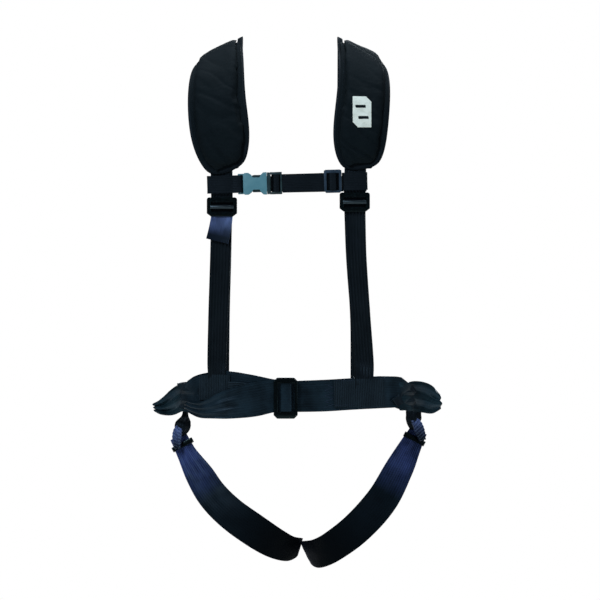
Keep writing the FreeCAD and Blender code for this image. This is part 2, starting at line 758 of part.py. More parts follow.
def pieces():
    """Every piece of the harness, as name and shape pairs."""
    found = []
    for side in SIDES:
        cover, foam, binding, outer = shoulder_pad(side)
        found.append(("pad_cover_" + side.name, cover))
        found.append(("pad_foam_" + side.name, foam))
        found.append(("pad_binding_" + side.name, binding))
        if side is LEFT:
            found.append(("pad_badge", badge(outer, side)))
        found.append(("shoulder_web_" + side.name, shoulder_web(side)))
        found.append(("friction_frame_" + side.name, friction_frame(side)))
        found.append(("friction_bar_" + side.name, friction_bar(side)))
        found.append(("strap_turn_" + side.name, strap_turn(side)))
        found.append(("front_strap_" + side.name, front_strap(side)))
        if side.tail:
            found.append(("strap_tail_" + side.name, strap_tail(side)))
    found += chest_strap()
    frame, wrap = waist_buckle()
    found.append(("waist_buckle_frame", frame))
    found.append(("waist_buckle_wrap", wrap))
    found.append(("belt_left", belt(BELT_LEFT)))
    found.append(("belt_right_under", belt(BELT_RIGHT_UNDER)))
    found.append(("belt_right_over", belt(BELT_RIGHT_OVER)))
    found.append(("belt_back", belt(BELT_BACK, rear=True)))
    found.append(("belt_sleeve_right", belt(SLEEVE_RIGHT)))
    found.append(("belt_sleeve_left", belt(SLEEVE_LEFT)))
    found.append(("back_yoke", back_yoke()))
    found.append(("tether_loop", tether_loop()))
    folds = {"right": ((219, 257), (222.5, 233), 206.5), "left": ((219, 262), (229, 242), 206.5)}
    for side, rows in ((RIGHT, LEG_RIGHT), (LEFT, LEG_LEFT)):
        root_z, tip_z, tip_x = folds[side.name]
        found.append(("hip_side_" + side.name, hip_side(side.sign)))
        found.append(("hip_fold_" + side.name, hip_fold(side.sign, root_z, tip_z, tip_x)))
        found.append(("hip_link_" + side.name, hip_link(side.sign, LINK_ROWS[side.name])))
        found.append(("leg_tail_" + side.name, leg_tail(side.sign, TAIL_ROWS[side.name])))
        found.append(("leg_front_" + side.name, strip(leg_stations(rows))))
        found.append(("leg_rear_" + side.name, strip(leg_stations(rows, rear=True))))
        found.append(("leg_adjuster_" + side.name, leg_adjuster(rows)))
    return found


os.makedirs("parts", exist_ok=True)
whole = FreeCAD.BoundBox()
for piece_name, piece in pieces():
    save(piece_name, piece)
    whole.add(piece.BoundBox)
print("box", whole)
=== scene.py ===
"""Looks of the safety harness vest, built around its packed design.

Webbing is swept from a few stations, the shoulder pads are inflated by cloth simulation, and the
buckles keep the design's shapes with their edges softened.  Lengths are in millimetres until a
mesh is made, and metres after that.
"""

import logging
import math
from dataclasses import dataclass, replace
from enum import Enum
from typing import Callable, Iterable, Sequence

import bmesh
import bpy
from mathutils import Matrix, Vector, noise


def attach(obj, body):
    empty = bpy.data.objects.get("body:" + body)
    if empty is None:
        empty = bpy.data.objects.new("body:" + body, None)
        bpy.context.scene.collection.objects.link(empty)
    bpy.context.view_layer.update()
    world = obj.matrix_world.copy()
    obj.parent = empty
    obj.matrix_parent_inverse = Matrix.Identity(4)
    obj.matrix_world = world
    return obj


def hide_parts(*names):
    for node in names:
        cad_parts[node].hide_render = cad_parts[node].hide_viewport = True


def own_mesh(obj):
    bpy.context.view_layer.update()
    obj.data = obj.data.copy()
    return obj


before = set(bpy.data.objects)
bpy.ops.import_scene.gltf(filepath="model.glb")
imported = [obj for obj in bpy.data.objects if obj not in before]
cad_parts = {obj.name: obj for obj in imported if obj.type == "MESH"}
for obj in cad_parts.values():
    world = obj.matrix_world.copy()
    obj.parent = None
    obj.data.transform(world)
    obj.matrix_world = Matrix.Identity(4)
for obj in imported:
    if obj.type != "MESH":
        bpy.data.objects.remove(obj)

LOG = logging.getLogger("harness")
MM = 0.001
WEB = 1.8  # one layer of webbing


# ---------------------------------------------------------------------------------------------
# Shaders
# ---------------------------------------------------------------------------------------------


def linear(hexcode: str) -> tuple[float, float, float, float]:
    """Turn an sRGB hex colour into linear light.

    Args:
        hexcode: six hexadecimal digits.

    Returns:
        The linear red, green, blue and an alpha of 1.
    """
    channels = [int(hexcode[i : i + 2], 16) / 255 for i in (0, 2, 4)]
    lit = [c / 12.92 if c <= 0.04045 else ((c + 0.055) / 1.055) ** 2.4 for c in channels]
    return (lit[0], lit[1], lit[2], 1.0)


class Shader:
    """Node tree of one material."""

    def __init__(self, name: str) -> None:
        """Start an empty material with an output and a Principled shader."""
        self.material = bpy.data.materials.new(name)
        self.material.use_nodes = True
        self.tree = self.material.node_tree
        self.tree.nodes.clear()
        self.surface = self.add("ShaderNodeBsdfPrincipled")
        self.add("ShaderNodeOutputMaterial", {"Surface": self.surface.outputs[0]})

    def add(self, kind: str, inputs: dict | None = None, **settings: object) -> bpy.types.Node:
        """Add a node.

        Args:
            kind: the node's type.
            inputs: values, or sockets to link, by input name or number.
            **settings: properties of the node.

        Returns:
            The new node.
        """
        node = self.tree.nodes.new(kind)
        for key, value in settings.items():
            setattr(node, key, value)
        for key, value in (inputs or {}).items():
            if isinstance(value, bpy.types.NodeSocket):
                self.tree.links.new(value, node.inputs[key])
            else:
                node.inputs[key].default_value = value
        return node

    def math(self, operation: str, a: object, b: object = 0.0, c: object = 0.0) -> bpy.types.NodeSocket:
        """Combine values or sockets with one math node and return its result."""
        return self.add("ShaderNodeMath", {0: a, 1: b, 2: c}, operation=operation).outputs[0]

    def mix(self, share: object, a: object, b: object) -> bpy.types.NodeSocket:
        """Blend two colours by a share and return the colour socket."""
        return self.add("ShaderNodeMix", {0: share, 6: a, 7: b}, data_type="RGBA").outputs[2]

    def place(self, scale: Sequence[float] = (1, 1, 1), turn: float = 0.0) -> bpy.types.NodeSocket:
        """Object coordinates, scaled per metre and turned about Z."""
        where = self.add("ShaderNodeTexCoord").outputs["Object"]
        inputs = {"Vector": where, "Scale": tuple(scale), "Rotation": (0.0, 0.0, turn)}
        return self.add("ShaderNodeMapping", inputs).outputs[0]

    def cloth(self, scale: Sequence[float] = (1, 1, 1), turn: float = 0.0) -> bpy.types.NodeSocket:
        """Coordinates that follow the webbing: metres along it and across it, scaled."""
        where = self.add("ShaderNodeUVMap", uv_map=CLOTH_MAP).outputs[0]
        inputs = {"Vector": where, "Scale": tuple(scale), "Rotation": (0.0, 0.0, turn)}
        return self.add("ShaderNodeMapping", inputs).outputs[0]

    def noise(self, where: object, scale: float, detail: float = 3.0) -> bpy.types.NodeSocket:
        """Soft noise between 0 and 1."""
        inputs = {"Vector": where, "Scale": scale, "Detail": detail}
        return self.add("ShaderNodeTexNoise", inputs).outputs["Fac"]

    def ramp(self, value: object, low: float, high: float) -> bpy.types.NodeSocket:
        """Stretch the part of a value between low and high to 0 to 1."""
        inputs = {"Value": value, "From Min": low, "From Max": high}
        return self.add("ShaderNodeMapRange", inputs).outputs[0]

    def relief(self, height: object, depth: float) -> None:
        """Raise the surface by a height map, depth in metres."""
        inputs = {"Height": height, "Distance": depth, "Strength": 1.0}
        bump = self.add("ShaderNodeBump", inputs)
        self.tree.links.new(bump.outputs[0], self.surface.inputs["Normal"])

    def surface_values(self, **values: object) -> None:
        """Set the Principled shader's own sockets, with _ for spaces in their names."""
        for key, value in values.items():
            socket = self.surface.inputs[key.replace("_", " ")]
            if isinstance(value, bpy.types.NodeSocket):
                self.tree.links.new(value, socket)
            else:
                socket.default_value = value


CLOTH_MAP = "cloth"


@dataclass(frozen=True)
class WebbingFinish:
    """Woven polyester webbing.

    Its face is a band of lengthwise ribs crossed by a fine twill.  Smooth seat-belt webbing has
    shallow ribs and a sheen that turns blue where it catches the light.  The grooves between the
    ribs are darkened by painted shade, and some finishes also paint a sheen near the start of the
    length and shade further along it.
    """

    name: str
    dark: str
    light: str
    sheen: str
    sheen_weight: float
    roughness: float
    rib_pitch: float  # millimetres from one rib to the next
    rib_depth: float  # millimetres
    twill_pitch: float = 2.6  # drawn coarser than the real 0.8 mm so that it shows
    wear: float = 0.35
    painted_sheen: str = ""  # painted sheen: lighter colour near the start of the length
    painted_sheen_length: float = 110.0  # millimetres
    groove_shade: float = 0.45  # painted shade: how much darker the grooves between ribs are drawn
    gloss: float = 0.25
    gloss_tint: str = "9AB8D4"
    painted_shade_at: float = 0.0  # painted shade: millimetres along it where it is drawn dark; it also turns dull there
    painted_shade_colour: str = "010203"

    def make(self) -> bpy.types.Material:
        """Build the material."""
        shader = Shader(self.name)
        along, across, _ = shader.add("ShaderNodeSeparateXYZ", {0: shader.cloth()}).outputs
        phase = shader.math("MULTIPLY", across, 2 * math.pi / (self.rib_pitch * MM))
        rib = shader.math("MULTIPLY_ADD", shader.math("SINE", phase), 0.5, 0.5)
        twill_place = shader.cloth(turn=math.radians(38))
        twill_x = shader.add("ShaderNodeSeparateXYZ", {0: twill_place}).outputs[0]
        twill_phase = shader.math("MULTIPLY", twill_x, 2 * math.pi / (self.twill_pitch * MM))
        twill = shader.math("MULTIPLY_ADD", shader.math("SINE", twill_phase), 0.5, 0.5)
        streaks = shader.noise(shader.cloth((60, 900, 1)), 1.0, 4.0)
        patches = shader.noise(shader.place(), 38.0, 3.0)
        # painted shade: the rib term darkens the grooves between the ribs
        tone = shader.math("MULTIPLY_ADD", rib, self.groove_shade, shader.math("MULTIPLY", streaks, 0.55))
        tone = shader.math("MULTIPLY_ADD", shader.ramp(patches, 0.3, 0.7), self.wear, tone)
        tone = shader.math("MULTIPLY_ADD", twill, 0.12, tone)
        colour = shader.mix(shader.ramp(tone, 0.25, 1.15), linear(self.dark), linear(self.light))
        # painted sheen: the lighter threads turn the sheen colour near the start of the length
        if self.painted_sheen:
            near = shader.ramp(along, self.painted_sheen_length * MM, 0.25 * self.painted_sheen_length * MM)
            lit = shader.math("MULTIPLY", near, shader.ramp(tone, 0.3, 0.95))
            colour = shader.mix(lit, colour, linear(self.painted_sheen))
        rough = shader.math("MULTIPLY_ADD", streaks, 0.18, self.roughness - 0.09)
        # painted shade: darker, and rougher, further along the length
        if self.painted_shade_at:
            shade_share = shader.ramp(along, 0.45 * self.painted_shade_at * MM, self.painted_shade_at * MM)
            colour = shader.mix(shade_share, colour, linear(self.painted_shade_colour))
            rough = shader.math("MULTIPLY_ADD", shade_share, 0.35, rough)
        shader.surface_values(
            Base_Color=colour,
            Roughness=rough,
            Sheen_Weight=self.sheen_weight,
            Sheen_Roughness=0.38,
            Sheen_Tint=linear(self.sheen),
            Specular_IOR_Level=self.gloss,
            Specular_Tint=linear(self.gloss_tint),
        )
        height = shader.math("MULTIPLY_ADD", twill, 0.25, rib)
        shader.relief(height, self.rib_depth * MM)
        return shader.material


@dataclass(frozen=True)
class ClothFinish:
    """Plain woven nylon on the pads: matt, faintly teal, with lint and rubbed patches."""

    name: str = "woven_nylon_pad_cloth"
    dark: str = "030608"
    light: str = "10161A"
    sheen: str = "50646C"
    thread: float = 1.5  # millimetres, drawn coarser than the real 0.5 mm so that it shows

    def make(self) -> bpy.types.Material:
        """Build the material."""
        shader = Shader(self.name)
        parts = shader.add("ShaderNodeSeparateXYZ", {0: shader.place(turn=0.15)}).outputs
        turns = 2 * math.pi / (self.thread * MM)
        warp = shader.math("SINE", shader.math("MULTIPLY", parts[0], turns))
        weft = shader.math("SINE", shader.math("MULTIPLY", parts[2], turns))
        weave = shader.math("MULTIPLY_ADD", shader.math("MULTIPLY", warp, weft), 0.5, 0.5)
        lint = shader.noise(shader.place(), 420.0, 5.0)
        rubbed = shader.noise(shader.place((1.0, 1.0, 0.45)), 26.0, 4.0)
        tone = shader.math("MULTIPLY_ADD", weave, 0.25, shader.math("MULTIPLY", rubbed, 0.7))
        tone = shader.math("MULTIPLY_ADD", shader.ramp(lint, 0.62, 0.8), 0.35, tone)
        colour = shader.mix(shader.ramp(tone, 0.3, 0.85), linear(self.dark), linear(self.light))
        shader.surface_values(
            Base_Color=colour,
            Roughness=shader.math("MULTIPLY_ADD", rubbed, 0.2, 0.66),
            Sheen_Weight=0.08,
            Sheen_Roughness=0.45,
            Sheen_Tint=linear(self.sheen),
            Specular_IOR_Level=0.22,
            Specular_Tint=linear("A0C8E0"),
        )
        shader.relief(shader.math("MULTIPLY_ADD", rubbed, 0.8, weave), 0.12 * MM)
        return shader.material


@dataclass(frozen=True)
class PlasticFinish:
    """Injection-moulded acetal: even colour, soft highlights, and edges painted a little lighter, for rubbing
    and for a highlight.
    """

    name: str
    colour: str
    worn_and_highlit: str
    roughness: float
    rubbed_edge_highlight: float = 0.5

    def make(self) -> bpy.types.Material:
        """Build the material."""
        shader = Shader(self.name)
        mottle = shader.noise(shader.place(), 90.0, 4.0)
        grain = shader.noise(shader.place(), 1500.0, 2.0)
        edge = shader.add("ShaderNodeNewGeometry").outputs["Pointiness"]
        # edges painted lighter: rubbing, and a painted highlight
        rubbed_edge_highlight = shader.ramp(edge, 0.54, 0.66)
        tone = shader.math("MULTIPLY_ADD", rubbed_edge_highlight, self.rubbed_edge_highlight, shader.math("MULTIPLY", mottle, 0.35))
        colour = shader.mix(tone, linear(self.colour), linear(self.worn_and_highlit))
        shader.surface_values(
            Base_Color=colour,
            Roughness=shader.math("MULTIPLY_ADD", mottle, 0.16, self.roughness - 0.08),
            IOR=1.48,
        )
        shader.relief(grain, 0.02 * MM)
        return shader.material


@dataclass(frozen=True)
class CoatedSteelFinish:
    """Stamped steel under gloss black paint: dark, glossy, with fine orange peel, and scuffed patches on its
    edges painted lighter, which also stands for the highlight along them.
    """

    name: str
    colour: str
    scuff_and_highlight: str
    roughness: float
    metallic: float = 0.0

    def make(self) -> bpy.types.Material:
        """Build the material."""
        shader = Shader(self.name)
        peel = shader.noise(shader.place(), 650.0, 2.0)
        scuffs = shader.noise(shader.place((1, 1, 4)), 240.0, 6.0)
        edge = shader.add("ShaderNodeNewGeometry").outputs["Pointiness"]
        # scuffs on the rounded edges, painted lighter, which also paints their highlight
        rubbed_edge_highlight = shader.math("MULTIPLY", shader.ramp(edge, 0.5, 0.7), shader.ramp(scuffs, 0.5, 0.8))
        colour = shader.mix(rubbed_edge_highlight, linear(self.colour), linear(self.scuff_and_highlight))
        shader.surface_values(
            Base_Color=colour,
            Roughness=shader.math("MULTIPLY_ADD", scuffs, 0.2, self.roughness - 0.1),
            Metallic=self.metallic,
            Specular_IOR_Level=0.5,
            Specular_Tint=linear("A0C4D0"),
        )
        shader.relief(peel, 0.03 * MM)
        return shader.material


@dataclass(frozen=True)
class RubberFinish:
    """Moulded off-white rubber of the badge: matt, slightly soiled in its pores."""

    name: str = "moulded_white_rubber"
    colour: str = "F2FBF4"
    soiled: str = "A9B6AB"

    def make(self) -> bpy.types.Material:
        """Build the material."""
        shader = Shader(self.name)
        pores = shader.noise(shader.place(), 900.0, 4.0)
        cloud = shader.noise(shader.place(), 110.0, 3.0)
        tone = shader.math("MULTIPLY_ADD", shader.ramp(pores, 0.55, 0.75), 0.5, 0.0)
        tone = shader.math("MULTIPLY_ADD", shader.ramp(cloud, 0.4, 0.8), 0.4, tone)
        colour = shader.mix(tone, linear(self.colour), linear(self.soiled))
        shader.surface_values(Base_Color=colour, Roughness=0.6, Specular_IOR_Level=0.35)
        shader.relief(pores, 0.06 * MM)
        return shader.material


@dataclass(frozen=True)
class PaperFinish:
    """Matt studio paper for the floor."""

    name: str = "studio_paper"
    colour: str = "FFF6EA"

    def make(self) -> bpy.types.Material:
        """Build the material."""
        shader = Shader(self.name)
        fibre = shader.noise(shader.place(), 14.0, 4.0)
        shade = shader.mix(shader.math("MULTIPLY", fibre, 0.12), linear(self.colour), linear("F4EADC"))
        shader.surface_values(Base_Color=shade, Roughness=0.9)
        return shader.material


class Finish(Enum):
    """Every finish on the harness, with the record's slot that it stands for."""

    # Coated pack cloth: matt, near black, with a fine grid of threads.
    PAD = ("pad_cloth", ClothFinish())
    # Grosgrain tape: close ribs across the edge, a little lighter than the cloth it binds.
    BINDING = (
        "binding_tape",
        WebbingFinish("grosgrain_binding", "030506", "0A0F13", "50687A", 0.12, 0.55, 1.6, 0.12),
    )
    # Harness polyester: broad ribs, with painted shade darkening the grooves between them.
    RIBBED = (
        "ribbed_webbing",
        WebbingFinish("ribbed_polyester", "000101", "10161B", "48586C", 0.07, 0.44, 4.6, 0.3),
    )
    # Light webbing of the chest strap: flat and dull, with a tight weave.
    FLAT = (
        "flat_webbing",
        WebbingFinish("flat_polyester", "010304", "11161C", "465868", 0.12, 0.52, 2.4, 0.14),
    )
    # Belt sleeves: close, raised ribs that run across the belt.
    SLEEVE = (
        "sleeve_webbing",
        WebbingFinish(
            "fine_ribbed_sleeve", "030507", "1E2A33", "50647C", 0.16, 0.5, 2.6, 0.4, groove_shade=0.7,
        ),
    )
    # Seat-belt satin: smooth, with long soft highlights.
    SATIN = (
        "satin_webbing",
        WebbingFinish(
            "seat_belt_satin", "000102", "182833", "4C6CA0", 0.1, 0.36, 3.6, 0.05, wear=0.7,
            groove_shade=0.2, gloss=0.38,
        ),
    )
    # The same satin drawn tight into folds, whose crests shine teal; its lighter colour is a painted
    # highlight.
    GATHERED = (
        "satin_webbing",
        WebbingFinish(
            "gathered_satin_painted_highlight", "000102", "22363F", "4C84A4", 0.1, 0.34, 3.6, 0.05, wear=0.7,
            groove_shade=0.2, gloss=0.4, gloss_tint="6CA4DC",
        ),
    )
    # The same satin in the shade of a buckle's window.
    SHADED = (
        "satin_webbing",
        WebbingFinish(
            "shaded_satin", "000001", "04070C", "28344C", 0.05, 0.5, 3.6, 0.1, gloss=0.15,
        ),
    )
    # The same satin with a painted blue sheen near the slide, and painted shade that turns it nearly black at
    # the crotch.
    PAINTED_SHEEN_AND_SHADE = (
        "satin_webbing",
        WebbingFinish(
            "satin_painted_sheen_and_shade", "020508", "0D1A24", "5C74C0", 0.04, 0.38, 3.6, 0.05, painted_sheen="40508A",
            painted_sheen_length=110.0, groove_shade=0.25, gloss=0.14, painted_shade_at=215.0,
        ),
    )
    # Free ends, with the strongest painted sheen of all.
    END = (
        "satin_webbing",
        WebbingFinish(
            "satin_end_painted_sheen", "010207", "0A1224", "5C74C0", 0.3, 0.34, 2.2, 0.03, painted_sheen="6E84C4",
            painted_sheen_length=31.0, groove_shade=0.1, gloss=0.7,
        ),
    )
    # Bonded thread: a shade lighter than the webbing it sews.
    THREAD = (
        "flat_webbing",
        WebbingFinish("lockstitch_thread", "18202E", "3A4660", "7080A8", 0.2, 0.5, 1.2, 0.05),
    )
    # Painted steel: black and glossy, with a painted teal highlight, mixed with scuffs, along its rounded
    # edges.
    STEEL = ("black_metal", CoatedSteelFinish("gloss_black_steel", "010203", "1C3038", 0.2))
    # Bars whose paint the strap has rubbed to bare grey metal.
    BAR = ("bar_metal", CoatedSteelFinish("worn_black_bar", "3A464E", "8C9CAA", 0.34, 0.9))
    # Acetal mouldings: even and slightly waxy, their edges painted lighter, as much as each one's share says,
    # for rubbing and a highlight.
    BUCKLE = ("buckle_plastic", PlasticFinish("moulded_acetal_teal", "4A8294", "8CBCC8", 0.4))
    GLIDE = ("glide_plastic", PlasticFinish("moulded_acetal_blue", "142434", "4A6884", 0.3, 0.1))
    PRONG = ("buckle_plastic", PlasticFinish("moulded_acetal_dark", "0E1A1E", "4A7480", 0.3, 0.0))
    # Moulded rubber: chalky white.
    BADGE = ("badge_vinyl", RubberFinish())

    @property
    def slot(self) -> str:
        """The record's material slot."""
        return self.value[0]

    def material(self) -> bpy.types.Material:
        """The finish's material, made once."""
        name = self.value[1].name
        return bpy.data.materials.get(name) or self.value[1].make()


# ---------------------------------------------------------------------------------------------
# Runs of webbing
# ---------------------------------------------------------------------------------------------


@dataclass(frozen=True)
class Station:
    """One place along a length of webbing, in millimetres.

    across points to one edge.  cup is how far both edges lie behind the middle, and pleat is the
    depth of the lengthwise folds that narrow it.
    """

    x: float
    y: float
    z: float
    width: float
    across: tuple[float, float, float] = (1.0, 0.0, 0.0)
    cup: float = 0.0
    pleat: float = 0.0

    def numbers(self) -> list[float]:
        """All values in one list, so that they can be blended together."""
        return [self.x, self.y, self.z, *self.across, self.width, self.cup, self.pleat]

    @property
    def point(self) -> Vector:
        """The place as a vector."""
        return Vector((self.x, self.y, self.z))


@dataclass(frozen=True)
class Place:
    """Where a run is at one share of its length, in millimetres."""

    point: Vector
    along: Vector
    across: Vector
    outward: Vector
    width: float
    cup: float
    pleat: float


class Run:
    """Smooth line through stations, evaluated by its share from 0 to 1."""

    def __init__(self, stations: Sequence[Station], closed: bool = False) -> None:
        """Take the stations, and join the last to the first if closed."""
        self.rows = [s.numbers() for s in stations]
        self.closed = closed
        if closed:
            self.rows.append(self.rows[0])
        gaps = [self._gap(a, b) for a, b in zip(self.rows, self.rows[1:])]
        self.at = [0.0]
        for gap in gaps:
            self.at.append(self.at[-1] + gap)
        self.length = self.at[-1]

    @staticmethod
    def _gap(a: list[float], b: list[float]) -> float:
        """Distance between two rows' points."""
        return max(math.dist(a[:3], b[:3]), 1e-6)

    def _slope(self, i: int) -> list[float]:
        """Rate of change at a station, from the stations on both sides."""
        last = len(self.rows) - 1
        if self.closed and i in (0, last):
            before, after = self.rows[last - 1], self.rows[1]
            span = (self.at[last] - self.at[last - 1]) + self.at[1]
        else:
            low, high = max(i - 1, 0), min(i + 1, last)
            before, after = self.rows[low], self.rows[high]
            span = self.at[high] - self.at[low]
        return [(q - p) / span for p, q in zip(before, after)]

    def values(self, share: float) -> list[float]:
        """All blended values at a share of the length."""
        s = min(max(share, 0.0), 1.0) * self.length
        i = 0
        while i < len(self.at) - 2 and s > self.at[i + 1]:
            i += 1
        step = self.at[i + 1] - self.at[i]
        t = (s - self.at[i]) / step
        h00, h10 = 2 * t**3 - 3 * t**2 + 1, t**3 - 2 * t**2 + t
        h01, h11 = -2 * t**3 + 3 * t**2, t**3 - t**2
        m0, m1 = self._slope(i), self._slope(i + 1)
        rows = zip(self.rows[i], self.rows[i + 1], m0, m1)
        return [h00 * p + h10 * step * a + h01 * q + h11 * step * b for p, q, a, b in rows]

    def place(self, share: float) -> Place:
        """The run's place at a share of its length."""
        here = self.values(share)
        step = 1.5 / self.length
        before, after = share - step, share + step
        if self.closed:
            before, after = before % 1.0, after % 1.0
        along = (Vector(self.values(after)[:3]) - Vector(self.values(before)[:3])).normalized()
        across = Vector(here[3:6])
        outward = across.cross(along).normalized()
        return Place(Vector(here[:3]), along, along.cross(outward).normalized(), outward, *here[6:9])


Placing = Callable[[float, float], Vector]


def make_object(name: str, bm: bmesh.types.BMesh) -> bpy.types.Object:
    """Turn a bmesh in metres into a linked object and free it."""
    mesh = bpy.data.meshes.new(name)
    bm.to_mesh(mesh)
    bm.free()
    made = bpy.data.objects.new(name, mesh)
    bpy.context.scene.collection.objects.link(made)
    return made


def mapped_grid(
    name: str,
    steps: tuple[int, int],
    placing: Placing,
    size: tuple[float, float],
    weld: float = 0.0,
) -> bpy.types.Object:
    """Lay a flat grid over a surface.

    Args:
        name: the object's name.
        steps: faces along and across.
        placing: gives the point, in millimetres, for shares along and across.
        size: length and width in millimetres, for the cloth map.
        weld: distance in millimetres under which points are joined, to close seams.

    Returns:
        The new object.
    """
    bm = bmesh.new()
    bmesh.ops.create_grid(bm, x_segments=steps[0], y_segments=steps[1], size=0.5)
    layer = bm.loops.layers.uv.new(CLOTH_MAP)
    for face in bm.faces:
        for loop in face.loops:
            u, v = loop.vert.co.x + 0.5, loop.vert.co.y + 0.5
            loop[layer].uv = (u * size[0] * MM, (v - 0.5) * size[1] * MM)
    for vert in bm.verts:
        vert.co = placing(vert.co.x + 0.5, vert.co.y + 0.5) * MM
    if weld:
        bmesh.ops.remove_doubles(bm, verts=bm.verts, dist=weld * MM)
        bmesh.ops.recalc_face_normals(bm, faces=bm.faces)
    return make_object(name, bm)


def settle(made: bpy.types.Object, sharp: float = 38.0) -> bpy.types.Object:
    """Apply an object's modifiers, then smooth it but for edges sharper than an angle."""
    graph = bpy.context.evaluated_depsgraph_get()
    mesh = bpy.data.meshes.new_from_object(made.evaluated_get(graph))
    made.modifiers.clear()
    old = made.data
    made.data = mesh
    bpy.data.meshes.remove(old)
    mesh.name = made.name
    mesh.polygons.foreach_set("use_smooth", [True] * len(mesh.polygons))
    mesh.set_sharp_from_angle(angle=math.radians(sharp))
    return made


def dress(made: bpy.types.Object, finish: Finish, body: str, nodes: Iterable[str] = ()) -> bpy.types.Object:
    """Give a piece its finish and its body, and hide the design nodes that it stands for."""
    made.data.materials.clear()
    made.data.materials.append(finish.material())
    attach(made, body)
    if nodes:
        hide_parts(*nodes)
    LOG.info("%s: %d faces on %s", made.name, len(made.data.polygons), body)
    return made


def close_ends(made: bpy.types.Object) -> bpy.types.Object:
    """Fill an object's open ends and turn its faces outwards."""
    bm = bmesh.new()
    bm.from_mesh(made.data)
    bmesh.ops.holes_fill(bm, edges=[e for e in bm.edges if e.is_boundary], sides=0)
    bmesh.ops.recalc_face_normals(bm, faces=bm.faces)
    bm.to_mesh(made.data)
    bm.free()
    return made


@dataclass
class Webbing:
    """A length of webbing swept along a run."""

    name: str
    run: Run
    finish: Finish
    body: str = "root"
    nodes: tuple[str, ...] = ()
    ribs: int = 0  # lengthwise ribs that are raised in the mesh
    rib_height: float = 0.25
    pleats: float = 2.5
    waver: float = 0.0  # how far a slack length strays, in millimetres
    thickness: float = WEB
    step: float = 3.0  # millimetres between points along it
    seed: float = 0.0
    lean: Matrix | None = None
    across_steps: int = 24
    turned: bool = False  # the weave's ribs run across the webbing, not along it
    cross_ribs: float = 0.0  # millimetres between raised ribs that run across it
    ruche: float = 0.0  # depth of creases that slant across it, in millimetres
    ruche_slant: float = 0.5
    two_way: bool = False  # the map runs from both ends to the middle

    def profile(self, place: Place, v: float, s: float) -> Vector:
        """Point across the webbing, in millimetres.

        Args:
            place: the run's place.
            v: share across, from 0 to 1.
            s: distance along, in millimetres.

        Returns:
            The point on the webbing's middle surface.
        """
        edge = 2 * v - 1
        lift = -place.cup * edge * edge
        if self.ribs:
            lift += self.rib_height * abs(math.sin(math.pi * self.ribs * v))
        if place.pleat:
            turn = 2 * math.pi * self.pleats * v + self.seed + 0.5 * math.sin(s / 23 + self.seed)
            lift += place.pleat * math.sin(turn) * (1 - 0.35 * edge * edge)
        if self.cross_ribs:
            lift += 0.35 * abs(math.sin(math.pi * s / self.cross_ribs))
        if self.ruche:
            phase = 2 * math.pi * (s / 4.6 + self.ruche_slant * 2 * v)
            lift += self.ruche * (0.5 + 0.5 * math.sin(phase)) * (1 - 0.3 * edge * edge)
        if self.waver:
            where = Vector((s / 46.0, v * 1.1, self.seed))
            lift += self.waver * noise.noise(where)
            lift += 0.25 * self.waver * noise.noise(where * 3.1)
        return place.point + place.across * (edge * place.width / 2) + place.outward * lift

    def make(self) -> bpy.types.Object:
        """Build the piece, dress it and return it."""
        steps = max(4, round(self.run.length / self.step))
        places = [self.run.place(i / steps) for i in range(steps + 1)]

        def placing(u: float, v: float) -> Vector:
            """Point on the webbing for shares along and across."""
            index = min(round(u * steps), steps)
            return self.profile(places[index], v, u * self.run.length)

        width = max(p.width for p in places)
        weld = 0.05 if self.run.closed else 0.0
        made = mapped_grid(self.name, (steps, self.across_steps), placing, (self.run.length, width), weld)
        if self.turned:
            for loop in made.data.uv_layers[CLOTH_MAP].data:
                loop.uv = (loop.uv[1], loop.uv[0])
        if self.two_way:
            for loop in made.data.uv_layers[CLOTH_MAP].data:
                loop.uv = (min(loop.uv[0], self.run.length * MM - loop.uv[0]), loop.uv[1])
        if self.lean is not None:
            made.data.transform(self.lean)
        skin = made.modifiers.new("thickness", "SOLIDIFY")
        skin.thickness = self.thickness * MM
        skin.offset = 0.0
        settle(made)
        return dress(made, self.finish, self.body, self.nodes)


# ---------------------------------------------------------------------------------------------
# Shoulders
# ---------------------------------------------------------------------------------------------


class Side(Enum):
    """The wearer's two sides."""

    RIGHT = "right"
    LEFT = "left"

    @property
    def sign(self) -> int:
        """-1 on the wearer's right and 1 on the left."""
        return -1 if self is Side.RIGHT else 1


@dataclass(frozen=True)
class ShoulderLine:
    """Middle line of a shoulder web over the shoulder, in millimetres."""

    side: Side
    web_x: tuple[float, ...]
    crest: int = 6
    slope: float = 27.5
    # height, depth and share of the shoulder's slope, from the chest over to the back
    path: tuple[tuple[float, float, float], ...] = (
        (503.0, -104.0, 0.0),
        (545.0, -104.0, 0.0),
        (600.0, -99.0, 0.0),
        (650.0, -86.0, 0.1),
        (697.0, -61.0, 0.45),
        (722.0, -35.0, 0.8),
        (734.0, -5.0, 1.0),
        (722.0, 26.0, 0.8),
        (697.0, 50.0, 0.45),
        (650.0, 70.0, 0.1),
        (600.0, 80.0, 0.0),
        (545.0, 84.0, 0.0),
        (450.0, 85.5, 0.0),
        (350.0, 86.5, 0.0),
    )

    def stations(self, width: float) -> list[Station]:
        """Stations of the web itself."""
        made = []
        for x, (z, y, lean) in zip(self.web_x, self.path):
            angle = math.radians(-self.side.sign * lean * self.slope)
            made.append(Station(x, y, z, width, (math.cos(angle), 0.0, math.sin(angle))))
        return made

    def beside(self, run: Run, x: float, z: float, width: float, rear: bool) -> Station:
        """Station on the shoulder's surface at a height, moved across to x."""
        crest = run.at[self.crest] / run.length
        high, low = crest, 1.0 if rear else 0.0
        for _ in range(40):
            middle = (high + low) / 2
            if run.values(middle)[2] > z:
                high = middle
            else:
                low = middle
        here = run.values(low)
        across = Vector(here[3:6]).normalized()
        point = Vector(here[:3]) + across * ((x - here[0]) / across.x)
        return Station(*point, width, tuple(across))


